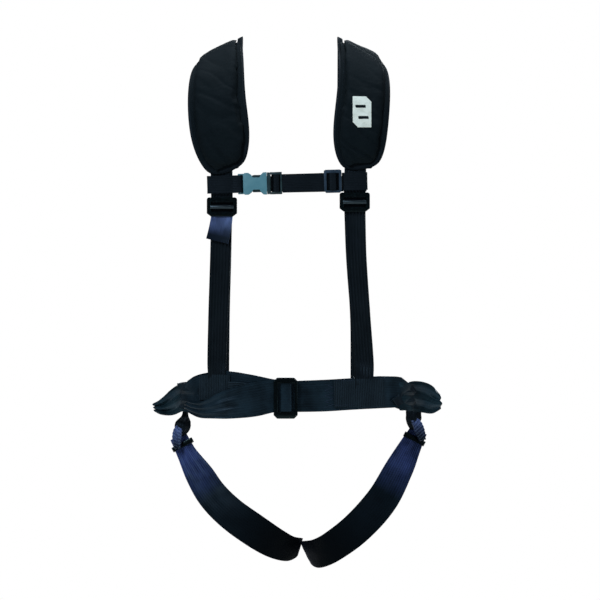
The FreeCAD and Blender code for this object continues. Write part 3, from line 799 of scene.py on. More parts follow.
@dataclass
class ShoulderPad:
    """Padded strap over one shoulder: swollen cloth field, flat edge, binding and stitches."""

    side: Side
    line: ShoulderLine
    front: tuple[tuple[float, float, float], ...]
    rear: tuple[tuple[float, float, float], ...]
    lift: float = 1.8  # from the middle of the web to the pad's underside
    depth: float = 9.5
    edge: float = 7.0  # width of the flat edge outside the field
    tape: float = 8.2
    tape_thickness: float = 2.2
    voxel: float = 4.0
    swell: float = 4.0
    rounding: int = 6  # rounds the tape takes off the outline's corners
    peak: float = 15.0  # how far the tape pokes up at the inner edge on top of the shoulder

    def run(self) -> Run:
        """The pad's middle line with its widths."""
        line = Run(self.line.stations(30.0))
        rows = [(row, False) for row in self.front] + [(row, True) for row in self.rear]
        return Run([self.line.beside(line, x, z, width, rear) for (x, z, width), rear in rows])

    def field(self, run: Run) -> bpy.types.Object:
        """Padded field, before it is inflated: a lens between two skins."""
        inset = self.edge - 0.5

        def skin(u: float, v: float) -> Vector:
            """Point on the closed field; v goes round the section."""
            share = 0.016 + 0.968 * u
            place = run.place(share)
            half = max(place.width / 2 - inset, 0.5)
            angle = 2 * math.pi * v
            side = math.cos(angle)
            up = math.sin(angle)
            across = math.copysign(abs(side) ** 0.55, side) * half
            end = min(1.0, min(u, 1 - u) / 0.035)
            height = self.lift + 2.8
            if up > 0:
                height += (self.depth - 2.4) * up**0.6 * end**0.5
            return place.point + place.across * across + place.outward * height

        made = mapped_grid(f"pad_cover_{self.side.value}_cloth", (110, 44), skin, (1, 1), 0.02)
        return close_ends(made)

    def inflate(self, made: bpy.types.Object) -> None:
        """Swell the field by cloth pressure, held to a few millimetres."""
        mesher = made.modifiers.new("remesh", "REMESH")
        mesher.mode = "VOXEL"
        mesher.voxel_size = self.voxel * MM
        settle(made)
        rest = [v.co.copy() for v in made.data.vertices]
        cloth = made.modifiers.new("cloth", "CLOTH")
        cloth.settings.use_pressure = True
        cloth.settings.uniform_pressure_force = 4.0
        cloth.settings.quality = 5
        cloth.settings.tension_stiffness = 12.0
        cloth.settings.compression_stiffness = 12.0
        cloth.settings.bending_stiffness = 0.4
        cloth.settings.effector_weights.gravity = 0.0
        cloth.collision_settings.use_collision = False
        cloth.point_cache.frame_start = 1
        cloth.point_cache.frame_end = 20
        for number in range(1, 21):
            bpy.context.scene.frame_set(number)
        settle(made)
        for vert, start in zip(made.data.vertices, rest):
            move = vert.co - start
            if move.length > self.swell * MM:
                vert.co = start + move.normalized() * self.swell * MM
        bpy.context.scene.frame_set(1)
        smooth = made.modifiers.new("smooth", "SUBSURF")
        smooth.levels = smooth.render_levels = 1
        settle(made, 70.0)

    def wrinkle(self, made: bpy.types.Object) -> None:
        """Press soft creases into the field, slanting near its lower end."""
        top = self.front[-1][1]
        bottom = self.front[0][1]
        normals = [v.normal.copy() for v in made.data.vertices]
        for vert, normal in zip(made.data.vertices, normals):
            p = vert.co / MM
            low = min(max((top - p.z) / (top - bottom), 0.0), 1.0)
            slant = Vector((p.x * 0.55 + p.z * 0.8, p.y * 0.4, p.z * 0.2 - p.x * 0.12))
            crease = noise.noise(slant / 17.0 + Vector((self.side.sign * 3.0, 0, 0)))
            broad = noise.noise(p / 34.0)
            fine = noise.noise(Vector((p.x, p.y, p.z * 2.2)) / 6.5)
            push = -(1.0 + 2.2 * low) * max(0.0, 1 - 4.5 * abs(crease)) + 1.8 * broad + 0.4 * fine
            facing = max(abs(normal.y), normal.z) ** 3
            vert.co += normal * push * facing * MM

    def outline(self, run: Run, height: float, inset: float, count: int) -> list[tuple[Vector, Vector]]:
        """Points round the pad's edge with the surface's direction at each.

        Args:
            run: the pad's middle line.
            height: distance above the web's middle.
            inset: distance inside the edge.
            count: points on each side.

        Returns:
            Pairs of point and outward direction.
        """
        right, left = [], []
        for i in range(count + 1):
            ease = 0.5 - 0.5 * math.cos(math.pi * i / count)
            share = inset / run.length + (1 - 2 * inset / run.length) * ease
            place = run.place(share)
            half = max(place.width / 2 - inset, 0.0)
            base = place.point + place.outward * height
            right.append((base + place.across * half, place.outward))
            left.append((base - place.across * half, place.outward))
        return right + left[::-1]

    def binding(self, run: Run) -> bpy.types.Object:
        """Folded tape sewn round the pad's edge."""
        ring = self.outline(run, self.lift + self.tape_thickness / 2, self.tape / 2 - 0.4, 46)
        kept = [ring[0]]
        for item in ring[1:]:
            if (item[0] - kept[-1][0]).length > 1.6:
                kept.append(item)
        for _ in range(self.rounding):
            points = [item[0] for item in kept]
            for i, (point, outward) in enumerate(kept):
                mean = (points[i - 1] + points[(i + 1) % len(points)]) / 2
                kept[i] = (point.lerp(mean, 0.5), outward)
        inner = [item[0] for item in kept if self.side.sign * (item[0].x - run.place(0.5).point.x) < 0]
        top = max(inner, key=lambda point: point.z)
        stations = []
        for i, (point, outward) in enumerate(kept):
            ahead = kept[(i + 1) % len(kept)][0] - kept[i - 1][0]
            across = ahead.cross(outward).normalized()
            near = math.exp(-((point - top).length / 11.0) ** 2)
            raised = point + Vector((-0.05 * self.side.sign, 0.0, 1.0)) * self.peak * near
            stations.append(Station(*raised, self.tape * (1 - 0.7 * near), tuple(across)))
        path = Run(stations, closed=True)
        steps = round(path.length / 4.0)
        places = [path.place(i / steps) for i in range(steps)]

        def section(u: float, v: float) -> Vector:
            """Point on the tape's rounded section."""
            place = places[round(u * steps) % steps]
            angle = 2 * math.pi * v
            side, up = math.cos(angle), math.sin(angle)
            ripple = 1 + 0.10 * noise.noise(place.point / 9.0)
            across = math.copysign(abs(side) ** 0.5, side) * self.tape / 2
            lift = math.copysign(abs(up) ** 0.6, up) * self.tape_thickness / 2 * ripple
            return place.point + place.across * across + place.outward * lift

        name = f"pad_binding_{self.side.value}_tape"
        made = mapped_grid(name, (steps, 20), section, (path.length, 2 * self.tape), 0.02)
        settle(made, 60.0)
        return made

    def flange(self, run: Run) -> bpy.types.Object:
        """Flat cloth under the field that reaches out to the tape."""
        steps = round(run.length / 4.0)
        share = 3.0 / run.length
        places = [run.place(share + (1 - 2 * share) * i / steps) for i in range(steps + 1)]

        def placing(u: float, v: float) -> Vector:
            """Point on the flange's middle surface."""
            place = places[min(round(u * steps), steps)]
            half = max(place.width / 2 - 3.5, 1.0)
            lift = self.lift + 0.9
            return place.point + place.across * ((2 * v - 1) * half) + place.outward * lift

        name = f"pad_flange_{self.side.value}"
        made = mapped_grid(name, (steps, 16), placing, (run.length, 70.0))
        skin = made.modifiers.new("thickness", "SOLIDIFY")
        skin.thickness = 2.2 * MM
        skin.offset = 0.0
        return settle(made)

    def stitches(self, run: Run) -> bpy.types.Object:
        """Row of lockstitches along the tape's inner edge."""
        ring = self.outline(run, self.lift + self.tape_thickness + 0.05, self.tape - 1.6, 170)
        return stitch_row(f"pad_stitches_{self.side.value}", ring, 3.4, 2.3, 0.55)

    def make(self) -> bpy.types.Object:
        """Build the pad's pieces and return its cover."""
        run = self.run()
        cover = self.field(run)
        self.inflate(cover)
        self.wrinkle(cover)
        side = self.side.value
        dress(cover, Finish.PAD, "root", (f"pad_cover_{side}", f"pad_foam_{side}"))
        dress(self.binding(run), Finish.BINDING, "root", (f"pad_binding_{side}",))
        dress(self.flange(run), Finish.PAD, "root")
        dress(self.stitches(run), Finish.SLEEVE, "root")
        return cover


def stitch_row(
    name: str,
    line: Sequence[tuple[Vector, Vector]],
    pitch: float,
    length: float,
    thick: float,
) -> bpy.types.Object:
    """Lay short stitches along a line.

    Args:
        name: the object's name.
        line: points, in millimetres, each with the surface's outward direction.
        pitch: distance from one stitch to the next.
        length: length of a stitch.
        thick: the thread's thickness.

    Returns:
        One object that holds all the stitches.
    """
    bm = bmesh.new()
    left = 0.0
    for (a, up_a), (b, up_b) in zip(line, line[1:]):
        gap = (b - a).length
        while left <= gap and gap > 1e-6:
            share = left / gap
            up = up_a.lerp(up_b, share).normalized()
            along = (b - a).normalized()
            side = up.cross(along).normalized()
            turn = Matrix((along, side, up)).transposed().to_4x4()
            size = Matrix.Diagonal((length / 2, thick / 2, thick / 2, 1 / MM)) * MM
            put = Matrix.Translation(a.lerp(b, share) * MM) @ turn @ size
            bmesh.ops.create_icosphere(bm, subdivisions=1, radius=1.0, matrix=put)
            left += pitch
        left -= gap
    made = make_object(name, bm)
    return settle(made, 80.0)


# ---------------------------------------------------------------------------------------------
# Waist
# ---------------------------------------------------------------------------------------------


@dataclass(frozen=True)
class Waist:
    """Superellipse round the wearer that the belt follows, in millimetres."""

    half_width: float = 172.0
    half_depth: float = 103.0
    centre_y: float = -5.0
    power: float = 2.6

    def y(self, x: float, rear: bool = False, out: float = 0.0) -> float:
        """Depth of the waist at x, out millimetres outside the belt's middle."""
        share = min(abs(x) / (self.half_width + out), 1.0)
        depth = (self.half_depth + out) * (1 - share**self.power) ** (1 / self.power)
        return self.centre_y + (depth if rear else -depth)

    def hanging(self, x: float, z: float, width: float, out: float, rear: bool = False) -> Station:
        """Station of a strap that hangs down over the waist."""
        step = 2.0
        fall = self.y(x + step, rear, out) - self.y(x - step, rear, out)
        along = Vector((2 * step, fall, 0.0)).normalized()
        return Station(x, self.y(x, rear, out), z, width, tuple(along))


WAIST = Waist()


@dataclass(frozen=True)
class Shoulder:
    """Everything between one shoulder and the waist: web, pad, friction buckle and strap."""

    side: Side
    web_x: tuple[float, ...]
    pad_front: tuple[tuple[float, float, float], ...]
    pad_rear: tuple[tuple[float, float, float], ...]
    buckle: tuple[float, float]
    strap: tuple[tuple[float, float], ...]
    tail: tuple[tuple[float, float, float], ...] = ()
    tail_turn: tuple[float, ...] = ()  # degrees
    web_width: float = 30.5
    rear_width: float = 28.0
    window_half: float = 15.6
    strap_width: float = 29.0
    buckle_y: float = -107.3
    strap_depth: tuple[float, ...] = (-101.2, -102.5, -99.5, -96.0)

    def web(self, line: ShoulderLine) -> None:
        """Shoulder web from its buckle over the shoulder and down the back."""
        stations = line.stations(self.web_width)
        stations[0] = replace(stations[0], z=self.buckle[1] + 6.0)
        crest = line.crest
        stations[crest + 1 :] = [replace(s, width=self.rear_width) for s in stations[crest + 1 :]]
        for z in (268.0, 228.0):
            stations.append(self._turned(WAIST.hanging(self.web_x[-1], z, self.rear_width, 3.5, True)))
        name = f"shoulder_web_{self.side.value}"
        Webbing(
            name + "_strap", Run(stations), Finish.RIBBED, nodes=(name,), ribs=7, rib_height=0.28,
            seed=2.0 * self.side.sign, step=4.0, across_steps=28,
        ).make()

    @staticmethod
    def _turned(station: Station) -> Station:
        """Station with across pointing to +X."""
        x, y, z = station.across
        return replace(station, across=(x, y, z) if x > 0 else (-x, -y, -z))

    def window(self, point: Vector) -> Vector:
        """Narrow the friction buckle's window, so that its sides look as stout as they are."""
        off = point.x - self.buckle[0]
        if 16.5 < abs(off) < 17.5:
            off = math.copysign(self.window_half, off)
        return Vector((self.buckle[0] + off, point.y, point.z))

    def sleeved_bar(self, point: Vector) -> Vector:
        """Thicken the floating bar by the tube that turns on it."""
        middle = Vector((point.x, self.buckle_y, self.buckle[1]))
        return middle + (point - middle) * 1.25

    def turn(self) -> None:
        """Strap where it passes behind the floating bar of the friction buckle."""
        x, z = self.buckle
        behind = self.buckle_y + 4.2
        points = [(behind, z + 8.0), (behind, z), (behind - 0.4, z - 12.0)]
        stations = [Station(x, y, height, self.strap_width + 3.0) for y, height in points]
        side = self.side.value
        Webbing(
            f"strap_turn_{side}_fold", Run(stations), Finish.SHADED, f"friction_bar_{side}",
            (f"strap_turn_{side}",), ribs=6, rib_height=0.12, step=1.2, waver=0.3,
        ).make()

    def front_strap(self) -> None:
        """Strap from below the friction buckle down over the belt."""
        top_x, top_z = self.strap[0]
        stations = [Station(top_x, self.strap_depth[0] + 0.6, top_z + 8.0, self.strap_width + 1.0)]
        for number, ((x, z), y) in enumerate(zip(self.strap, self.strap_depth)):
            stations.append(Station(x, y, z, self.strap_width + 0.6 - number, cup=0.5))
        x = self.strap[-1][0]
        for z in (266.0, 248.0, 232.0):
            out = 1.9 if z < 260 else 2.6
            stations.append(self._turned(WAIST.hanging(x, z, self.strap_width - 2.6, out)))
        name = f"front_strap_{self.side.value}"
        Webbing(
            name + "_ribbed", Run(stations), Finish.RIBBED, nodes=(name,), ribs=6, rib_height=0.45,
            waver=0.8, seed=5.0 + self.side.sign, step=4.0, across_steps=36,
        ).make()

    def free_end(self) -> None:
        """Free end of the strap in front of its buckle, with a folded and sewn tip."""
        depths = (2.4, 1.2, -0.4, -1.6)
        stations = []
        for (x, z, width), depth, turn in zip(self.tail, depths, self.tail_turn):
            lean = math.radians(turn)
            across = (math.cos(lean), 0.0, math.sin(lean))
            stations.append(Station(x, self.buckle_y + depth, z, width, across, cup=0.8))
        Webbing(
            "strap_tail_right_satin", Run(stations), Finish.END, nodes=("strap_tail_right",),
            step=1.5, waver=0.7, seed=9.0,
        ).make()

    def make(self) -> None:
        """Build all pieces of the shoulder."""
        line = ShoulderLine(self.side, self.web_x)
        side = self.side.value
        self.web(line)
        pad = ShoulderPad(self.side, line, self.pad_front, self.pad_rear)
        cover = pad.make()
        if self.side is Side.LEFT:
            Badge().make(cover)
        hardware(f"friction_frame_{side}", Finish.STEEL, "root", 0.9, reshape=self.window)
        hardware(f"friction_bar_{side}", Finish.BAR, f"friction_bar_{side}", 0.3, reshape=self.sleeved_bar)
        self.turn()
        self.front_strap()
        if self.tail:
            self.free_end()


def hardware(
    node: str,
    finish: Finish,
    body: str,
    radius: float,
    segments: int = 3,
    reshape: Callable[[Vector], Vector] | None = None,
) -> bpy.types.Object:
    """Copy a hard part of the design and round its edges.

    Args:
        node: the design's node, which the copy replaces.
        finish: the copy's finish.
        body: the body that it rides on.
        radius: width of the rounded edges in millimetres.
        segments: steps in the rounding.
        reshape: moves each point, in millimetres, before the edges are rounded.

    Returns:
        The new object.
    """
    bm = bmesh.new()
    bm.from_mesh(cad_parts[node].data)
    bm.transform(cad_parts[node].matrix_world)
    bmesh.ops.remove_doubles(bm, verts=bm.verts, dist=1e-6)
    bmesh.ops.dissolve_limit(bm, angle_limit=math.radians(1.5), verts=bm.verts, edges=bm.edges)
    if reshape:
        for vert in bm.verts:
            vert.co = reshape(vert.co / MM) * MM
    sharp = [e for e in bm.edges if e.is_manifold and e.calc_face_angle(0.0) > math.radians(32)]
    bmesh.ops.bevel(
        bm, geom=sharp, offset=radius * MM, offset_type="OFFSET", segments=segments,
        profile=0.5, material=-1, affect="EDGES", clamp_overlap=True,
    )
    bmesh.ops.triangulate(bm, faces=[f for f in bm.faces if len(f.verts) > 4])
    made = make_object(node + "_moulded", bm)
    settle(made, 34.0)
    return dress(made, finish, body, (node,))


@dataclass(frozen=True)
class Badge:
    """Moulded rubber badge with two sunk bars, laid on the pad."""

    centre: tuple[float, float] = (91.6, 646.0)
    size: tuple[float, float] = (27.0, 45.0)
    chamfer: float = 8.0
    bar_chamfer: float = 1.2
    thickness: float = 1.5
    ahead: float = -200.0  # where the plate starts, in front of the pad
    bars: tuple[tuple[float, float, float, float], ...] = (
        (-2.0, 8.0, 15.0, 4.2),
        (2.0, -8.0, 15.0, 4.2),
    )

    def plate(self, name: str, place: Sequence[float], size: Sequence[float], cut: float) -> bpy.types.Object:
        """Flat plate with two opposite corners cut off, in front of the pad."""
        bm = bmesh.new()
        bmesh.ops.create_grid(bm, x_segments=26, y_segments=40, size=0.5)
        turn = Matrix.Rotation(math.radians(90), 4, "X")
        scale = Matrix.Diagonal((size[0] * MM, size[1] * MM, 1.0, 1.0))
        put = Matrix.Translation(Vector((place[0], self.ahead, place[1])) * MM)
        bmesh.ops.transform(bm, matrix=put @ turn @ scale, verts=bm.verts)
        for sign in (-1, 1):
            edge_x = place[0] - sign * size[0] / 2
            corner = Vector((edge_x, self.ahead, place[1] - sign * (size[1] / 2 - cut)))
            geom = bm.verts[:] + bm.edges[:] + bm.faces[:]
            away = Vector((-sign, 0.0, -sign))
            bmesh.ops.bisect_plane(bm, geom=geom, plane_co=corner * MM, plane_no=away, clear_outer=True)
        return make_object(name, bm)

    def lay(self, made: bpy.types.Object, cover: bpy.types.Object, lift: float, thick: float) -> None:
        """Drop a plate on the pad's face and give it its thickness."""
        for vert in made.data.vertices:
            hit, where, normal, _ = cover.ray_cast(vert.co, Vector((0.0, 1.0, 0.0)))
            if hit:
                vert.co = where - Vector((0.0, lift * MM, 0.0))
        relax = made.modifiers.new("relax", "SMOOTH")
        relax.iterations = 4
        skin = made.modifiers.new("thickness", "SOLIDIFY")
        skin.thickness = thick * MM
        skin.offset = 0.0
        edge = made.modifiers.new("edge", "BEVEL")
        edge.width = 0.4 * MM
        edge.segments = 2
        settle(made)

    def make(self, cover: bpy.types.Object) -> None:
        """Build the badge and its bars on a pad's cover."""
        plate = self.plate("pad_badge_plate", self.centre, self.size, self.chamfer)
        self.lay(plate, cover, 0.4, self.thickness)
        dress(plate, Finish.BADGE, "root", ("pad_badge",))
        for number, (x, z, width, height) in enumerate(self.bars):
            place = (self.centre[0] + x, self.centre[1] + z)
            bar = self.plate(f"pad_badge_bar_{number}", place, (width, height), self.bar_chamfer)
            self.lay(bar, cover, 1.1, 0.5)
            dress(bar, Finish.PAD, "root")


RIGHT_SHOULDER = Shoulder(
    Side.RIGHT,
    (-107.2, -107.5, -109, -111, -110, -108, -107, -107.5, -108, -108, -108, -108.5, -110, -112.5),
    (
        (-97.5, 558.8, 16.0), (-98.5, 562.3, 40.0), (-101.5, 570.0, 58.0), (-105.5, 585.0, 72.0),
        (-109.0, 607.0, 83.0), (-112.5, 635.0, 85.0), (-115.5, 665.0, 82.0), (-115.0, 697.0, 79.0),
        (-112.0, 722.0, 75.0), (-109.0, 734.0, 69.0),
    ),
    (
        (-109.5, 722.0, 63.0), (-109.5, 697.0, 60.0), (-109.5, 650.0, 60.0),
        (-109.0, 612.0, 58.0), (-108.5, 592.0, 46.0), (-108.5, 582.0, 18.0),
    ),
    (-107.2, 511.0),
    ((-107.8, 494.5), (-109.5, 440.0), (-112.5, 360.0), (-114.5, 292.0)),
    ((-107.0, 500.0, 30.5), (-108.2, 490.0, 31.0), (-110.6, 477.0, 31.5), (-114.0, 462.5, 32.0)),
    (0.0, 4.0, 9.0, 12.0),
)
LEFT_SHOULDER = Shoulder(
    Side.LEFT,
    (81.2, 81.5, 83.5, 87, 89, 87, 85, 85.5, 86, 86, 85.5, 84.5, 85, 90.5),
    (
        (90.0, 562.0, 16.0), (90.0, 565.8, 40.0), (89.0, 573.0, 56.0), (88.2, 586.0, 68.0),
        (88.2, 606.0, 76.0), (90.5, 633.0, 77.5), (93.8, 665.0, 76.0), (95.0, 697.0, 74.0),
        (91.5, 722.0, 72.0), (86.5, 734.0, 68.0),
    ),
    (
        (87.0, 722.0, 63.0), (87.5, 697.0, 60.0), (87.5, 650.0, 60.0),
        (87.0, 612.0, 58.0), (86.0, 592.0, 46.0), (86.0, 582.0, 18.0),
    ),
    (81.2, 518.0),
    ((81.6, 501.5), (83.5, 440.0), (89.2, 360.0), (94.8, 290.0)),
)


# ---------------------------------------------------------------------------------------------
# Chest strap
# ---------------------------------------------------------------------------------------------


@dataclass(frozen=True)
class ChestStrap:
    """Strap across the chest with its side-release buckle and slide, all leaning a little."""

    middle: tuple[float, float, float] = (-13.0, -109.5, 545.2)
    lean: float = -1.4
    width: float = 25.0
    web_x: tuple[float, float] = (-21.5, 62.4)
    notch: tuple[float, float] = (-64.0, -53.0)
    notch_height: float = 8.6
    loop_depth: tuple[float, float] = (0.1, 9.0)  # behind the strap's plane

    def matrix(self) -> Matrix:
        """Lean about the strap's middle, in metres."""
        there = Matrix.Translation(Vector(self.middle) * MM)
        return there @ Matrix.Rotation(math.radians(self.lean), 4, "Y") @ there.inverted()

    def waist(self, point: Vector) -> Vector:
        """Draw the socket in between its thumb notches."""
        flat = (self.matrix().inverted() @ (point * MM)) / MM
        off = flat.z - self.middle[2]
        if self.notch[0] < flat.x < self.notch[1] and self.notch_height < abs(off) < 12.7:
            flat.z = self.middle[2] + math.copysign(self.notch_height, off)
        return (self.matrix() @ (flat * MM)) / MM

    def stouter(self, point: Vector) -> Vector:
        """Thicken the upper and lower bars of a frame."""
        flat = (self.matrix().inverted() @ (point * MM)) / MM
        off = flat.z - self.middle[2]
        for low, high, moved in ((14.2, 14.8, 15.8), (12.6, 13.9, 12.4)):
            if low < abs(off) < high:
                flat.z = self.middle[2] + math.copysign(moved, off)
                break
        return (self.matrix() @ (flat * MM)) / MM

    def ring(self, x: tuple[float, float], y: tuple[float, float], corner: float, bulge: float = 0.0) -> Run:
        """Closed run round a bar or a web, seen from above."""
        points = []
        corners = ((0, 0, 180), (1, 0, 270), (1, 1, 0), (0, 1, 90))
        for i, j, first in corners:
            cx, cy = x[i] + (1 - 2 * i) * corner, y[j] + (1 - 2 * j) * corner
            for turn in (0, 30, 60, 90):
                angle = math.radians(first + turn)
                points.append((cx + corner * math.cos(angle), cy + corner * math.sin(angle)))
            if first == 180:
                points.append(((x[0] + x[1]) / 2, y[0] - bulge))
            if first == 0:
                points.append(((x[0] + x[1]) / 2, y[1]))
        z = self.middle[2]
        stations = [Station(px, py, z, self.width, (0.0, 0.0, -1.0)) for px, py in points]
        return Run(stations, closed=True)

    def webbing(
        self, name: str, run: Run, body: str, nodes: tuple[str, ...], **more: object
    ) -> bpy.types.Object:
        """Piece of the chest webbing, leaned with the rest."""
        return Webbing(name, run, Finish.FLAT, body, nodes, lean=self.matrix(), **more).make()

    def make(self) -> None:
        """Build the chest strap's pieces."""
        x, y, z = self.middle
        depth = (y + self.loop_depth[0], y + self.loop_depth[1])
        for side, span in ((Side.RIGHT, (-127.4, -87.0)), (Side.LEFT, (63.9, 98.5))):
            name = f"chest_loop_{side.value}"
            run = self.ring(span, depth, 1.8, 0.5)
            self.webbing(name + "_sleeve", run, "root", (name,), step=2.0, waver=0.35, seed=side.sign)
        tongue = [(-92.0, -0.6), (-86.0, -1.5), (-80.5, -1.6), (-78.6, -0.4), (-78.3, 2.2), (-79.5, 4.4)]
        stations = [Station(px, y + dy, z, self.width, (0.0, 0.0, -1.0)) for px, dy in tongue]
        self.webbing("buckle_webbing_end", Run(stations), "root", (), step=1.5)
        stations = []
        for share in (0.0, 0.2, 0.4, 0.6, 0.8, 1.0):
            px = self.web_x[0] + share * (self.web_x[1] - self.web_x[0])
            stations.append(Station(px, y, z - 0.6, self.width + 1.2 + 0.8 * share, (0.0, 0.0, -1.0)))
        web = self.webbing("chest_web_strap", Run(stations), "root", ("chest_web",), waver=0.5)
        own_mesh(web)
        under = [(-37.0, 3.0), (-31.0, 3.3), (-25.0, 3.1), (-21.0, 1.4)]
        stations = [Station(px, y + dy, z, self.width, (0.0, 0.0, -1.0)) for px, dy in under]
        self.webbing("buckle_plug_under", Run(stations), "buckle_plug", (), step=1.5)
        wrap = self.ring((-33.2, -26.8), (y - 3.1, y + 3.1), 1.2)
        self.webbing("buckle_plug_wrap", wrap, "buckle_plug", ("buckle_male_wrap",), step=1.0)
        bar = self.ring((46.1, 54.1), (y - 4.5 - 2.4, y - 4.5 + 2.4), 1.2)
        self.webbing("tri_glide_fold", bar, "tri_glide", ("tri_glide_wrap",), step=1.0)
        hardware("buckle_female", Finish.BUCKLE, "root", 0.9, reshape=self.waist)
        hardware("buckle_male", Finish.PRONG, "buckle_plug", 0.5, reshape=self.stouter)
        hardware("buckle_prong_upper", Finish.PRONG, "prong_upper", 0.6)
        hardware("buckle_prong_lower", Finish.PRONG, "prong_lower", 0.6)
        hardware("tri_glide_frame", Finish.GLIDE, "tri_glide", 0.7, reshape=self.stouter)


# ---------------------------------------------------------------------------------------------
# Belt and hips
# ---------------------------------------------------------------------------------------------


@dataclass(frozen=True)
class Belt:
    """Waist belt: one band round the body, the overlapping front layer, sleeves and buckle."""

    up: tuple[float, float, float] = (0.0, 0.0, 1.0)
    # folds where the band is gathered round each hip: angle forwards, width and fold depth
    hip: tuple[tuple[float, float, float], ...] = (
        (35.0, 40.0, 0.4), (18.0, 35.0, 0.8), (0.0, 33.0, 1.0), (-18.0, 35.0, 0.8), (-35.0, 38.0, 0.4),
    )
    left: tuple[tuple[float, ...], ...] = (
        (-14, 242.0, 44), (35, 243.2, 45), (75, 245.5, 45), (105, 247.5, 46), (130, 248.0, 45),
        (146, 247, 43),
    )
    right: tuple[tuple[float, ...], ...] = (
        (-144, 249.0, 42), (-125, 254.0, 44), (-101, 256.0, 44), (-72, 252.0, 44),
        (-38, 245.5, 43), (-18, 243.0, 43),
    )
    back: tuple[tuple[float, ...], ...] = (
        (146, 248.0, 40), (110, 245.0, 42), (60, 241.5, 42), (0, 240.0, 42), (-60, 241.0, 42),
        (-110, 244.0, 42), (-146, 246.0, 40),
    )
    over: tuple[tuple[float, ...], ...] = (
        (-160, 229.0, 14, 4.0, 0.8), (-150, 224.5, 17, 7.0, 1.2), (-138, 222.5, 22, 9.0, 1.2),
        (-122, 225.0, 29, 9.0, 0.9), (-106, 229.0, 38, 9.0, 0.5), (-80, 234.5, 46, 8.0, 0.15),
        (-60, 238.0, 48, 5.0, 0.0), (-36, 242.5, 46, 2.6, 0.0), (-20, 243.0, 45, 2.6, 0.0),
    )

    def station(self, row: Sequence[float], rear: bool = False, up: float = 1.0) -> Station:
        """Station of a band on the waist from x, z, width, distance outside and fold depth."""
        x, z, width, out, pleat = (*row, 0.0, 0.0)[:5]
        return Station(x, WAIST.y(x, rear, out), z, width, (0.0, 0.0, up), pleat=pleat)

    def hip_stations(self, sign: int) -> list[Station]:
        """Gathered stations round one hip, from front to rear."""
        made = []
        for degrees, width, pleat in self.hip:
            angle = math.radians(degrees)
            share = 2 / WAIST.power
            x = sign * WAIST.half_width * math.cos(angle) ** share
            y = WAIST.half_depth * abs(math.sin(angle)) ** share
            height = 243.0 if sign < 0 else 241.5
            y = WAIST.centre_y - math.copysign(y, degrees)
            made.append(Station(x, y, height, width, self.up, pleat=pleat))
        return made

    def band(self) -> None:
        """One length of belt from the buckle round the back to its other end."""
        stations = [self.station(row) for row in reversed(self.right)]
        stations += self.hip_stations(-1)
        stations += [self.station(row, rear=True) for row in reversed(self.back)]
        stations += reversed(self.hip_stations(1))
        stations += [self.station(row) for row in reversed(self.left)]
        nodes = ("belt_left", "hip_side_left", "belt_back", "hip_side_right", "belt_right_under")
        Webbing(
            "belt_band", Run(stations), Finish.SATIN, nodes=nodes, waver=0.9, seed=3.0, step=3.0,
            across_steps=30,
        ).make()

    def front_layer(self) -> None:
        """Front layer of the belt on the wearer's right, gathered towards the hip."""
        stations = [self.station(row, up=-1.0) for row in self.over]
        Webbing(
            "belt_front_layer", Run(stations), Finish.SATIN, nodes=("belt_right_over",), waver=1.8,
            seed=7.0, step=2.0, across_steps=40, pleats=3.0,
        ).make()

    def sleeves(self) -> None:
        """Ribbed sleeves that hold the shoulder straps on the belt, and the sewn tab."""
        rows = {
            Side.RIGHT: ((-139, 254.5, 35, 2.6), (-118, 254.5, 37, 3.0), (-96, 254.5, 37, 3.0)),
            Side.LEFT: (
                (52, 246.0, 39, 3.0), (88, 247.0, 40, 3.0), (105, 248.0, 39, 3.0),
                (122.5, 249.0, 38, 3.0),
            ),
        }
        for side, group in rows.items():
            stations = [self.station(row, up=-1.0) for row in group]
            name = f"belt_sleeve_{side.value}"
            Webbing(
                name + "_ribbed", Run(stations), Finish.SLEEVE, nodes=(name,), turned=True, cross_ribs=2.4,
                waver=0.5, seed=4.0 + side.sign, step=0.6, across_steps=14,
            ).make()
        tab_rows = ((-99, 255.0, 15.5, 4.2), (-86, 254.6, 15, 4.0), (-73.5, 253.6, 14.5, 3.2))
        tab = [self.station(row, up=-1.0) for row in tab_rows]
        Webbing(
            "belt_tab_right", Run(tab), Finish.SLEEVE, ribs=6, rib_height=0.3, step=1.5, waver=0.3, seed=1.0,
        ).make()

    def seams(self) -> None:
        """Stitching on the belt: a zigzag bar tack and straight rows on the sleeves."""
        out = 1.1

        def row(points: Iterable[tuple[float, float]], outside: float) -> list[tuple[Vector, Vector]]:
            """Line of points on the waist with its outward direction."""
            return [(Vector((x, WAIST.y(x, False, outside), z)), Vector((0.0, -1.0, 0.0))) for x, z in points]

        zigzag = []
        for i in range(9):
            zigzag.append((50.5 if i % 2 else 39.0, 226.5 + i * 4.1))
        stitch_object("belt_zigzag_stitches", row(zigzag, out + 0.7), 1.9, 1.8, 0.7, Finish.THREAD)
        edge = [(52.6, 227.5 + i) for i in range(38)]
        stitch_object("belt_sleeve_edge_stitches", row(edge, 3.0 + out), 2.4, 1.5, 0.8, Finish.BINDING)
        for name, z in (("upper", 264.0), ("lower", 229.5)):
            line = [(54.0 + i, z + 0.04 * i) for i in range(26)]
            stitch_object(f"belt_sleeve_{name}_stitches", row(line, 3.0 + out), 2.8, 1.9, 0.6, Finish.THREAD)
        tab = [(-75.0 - 0.05 * i, 247.5 + i) for i in range(13)]
        stitch_object("belt_tab_stitches", row(tab, 3.4 + out), 1.3, 1.2, 1.3, Finish.BINDING)

    @staticmethod
    def slot_ends(point: Vector) -> Vector:
        """Shorten the waist buckle's slots to the webbing that fills them."""
        for old, new in ((216.9, 220.6), (262.8, 261.0)):
            if abs(point.z - old) < 0.3:
                return Vector((point.x, point.y, new))
        return point

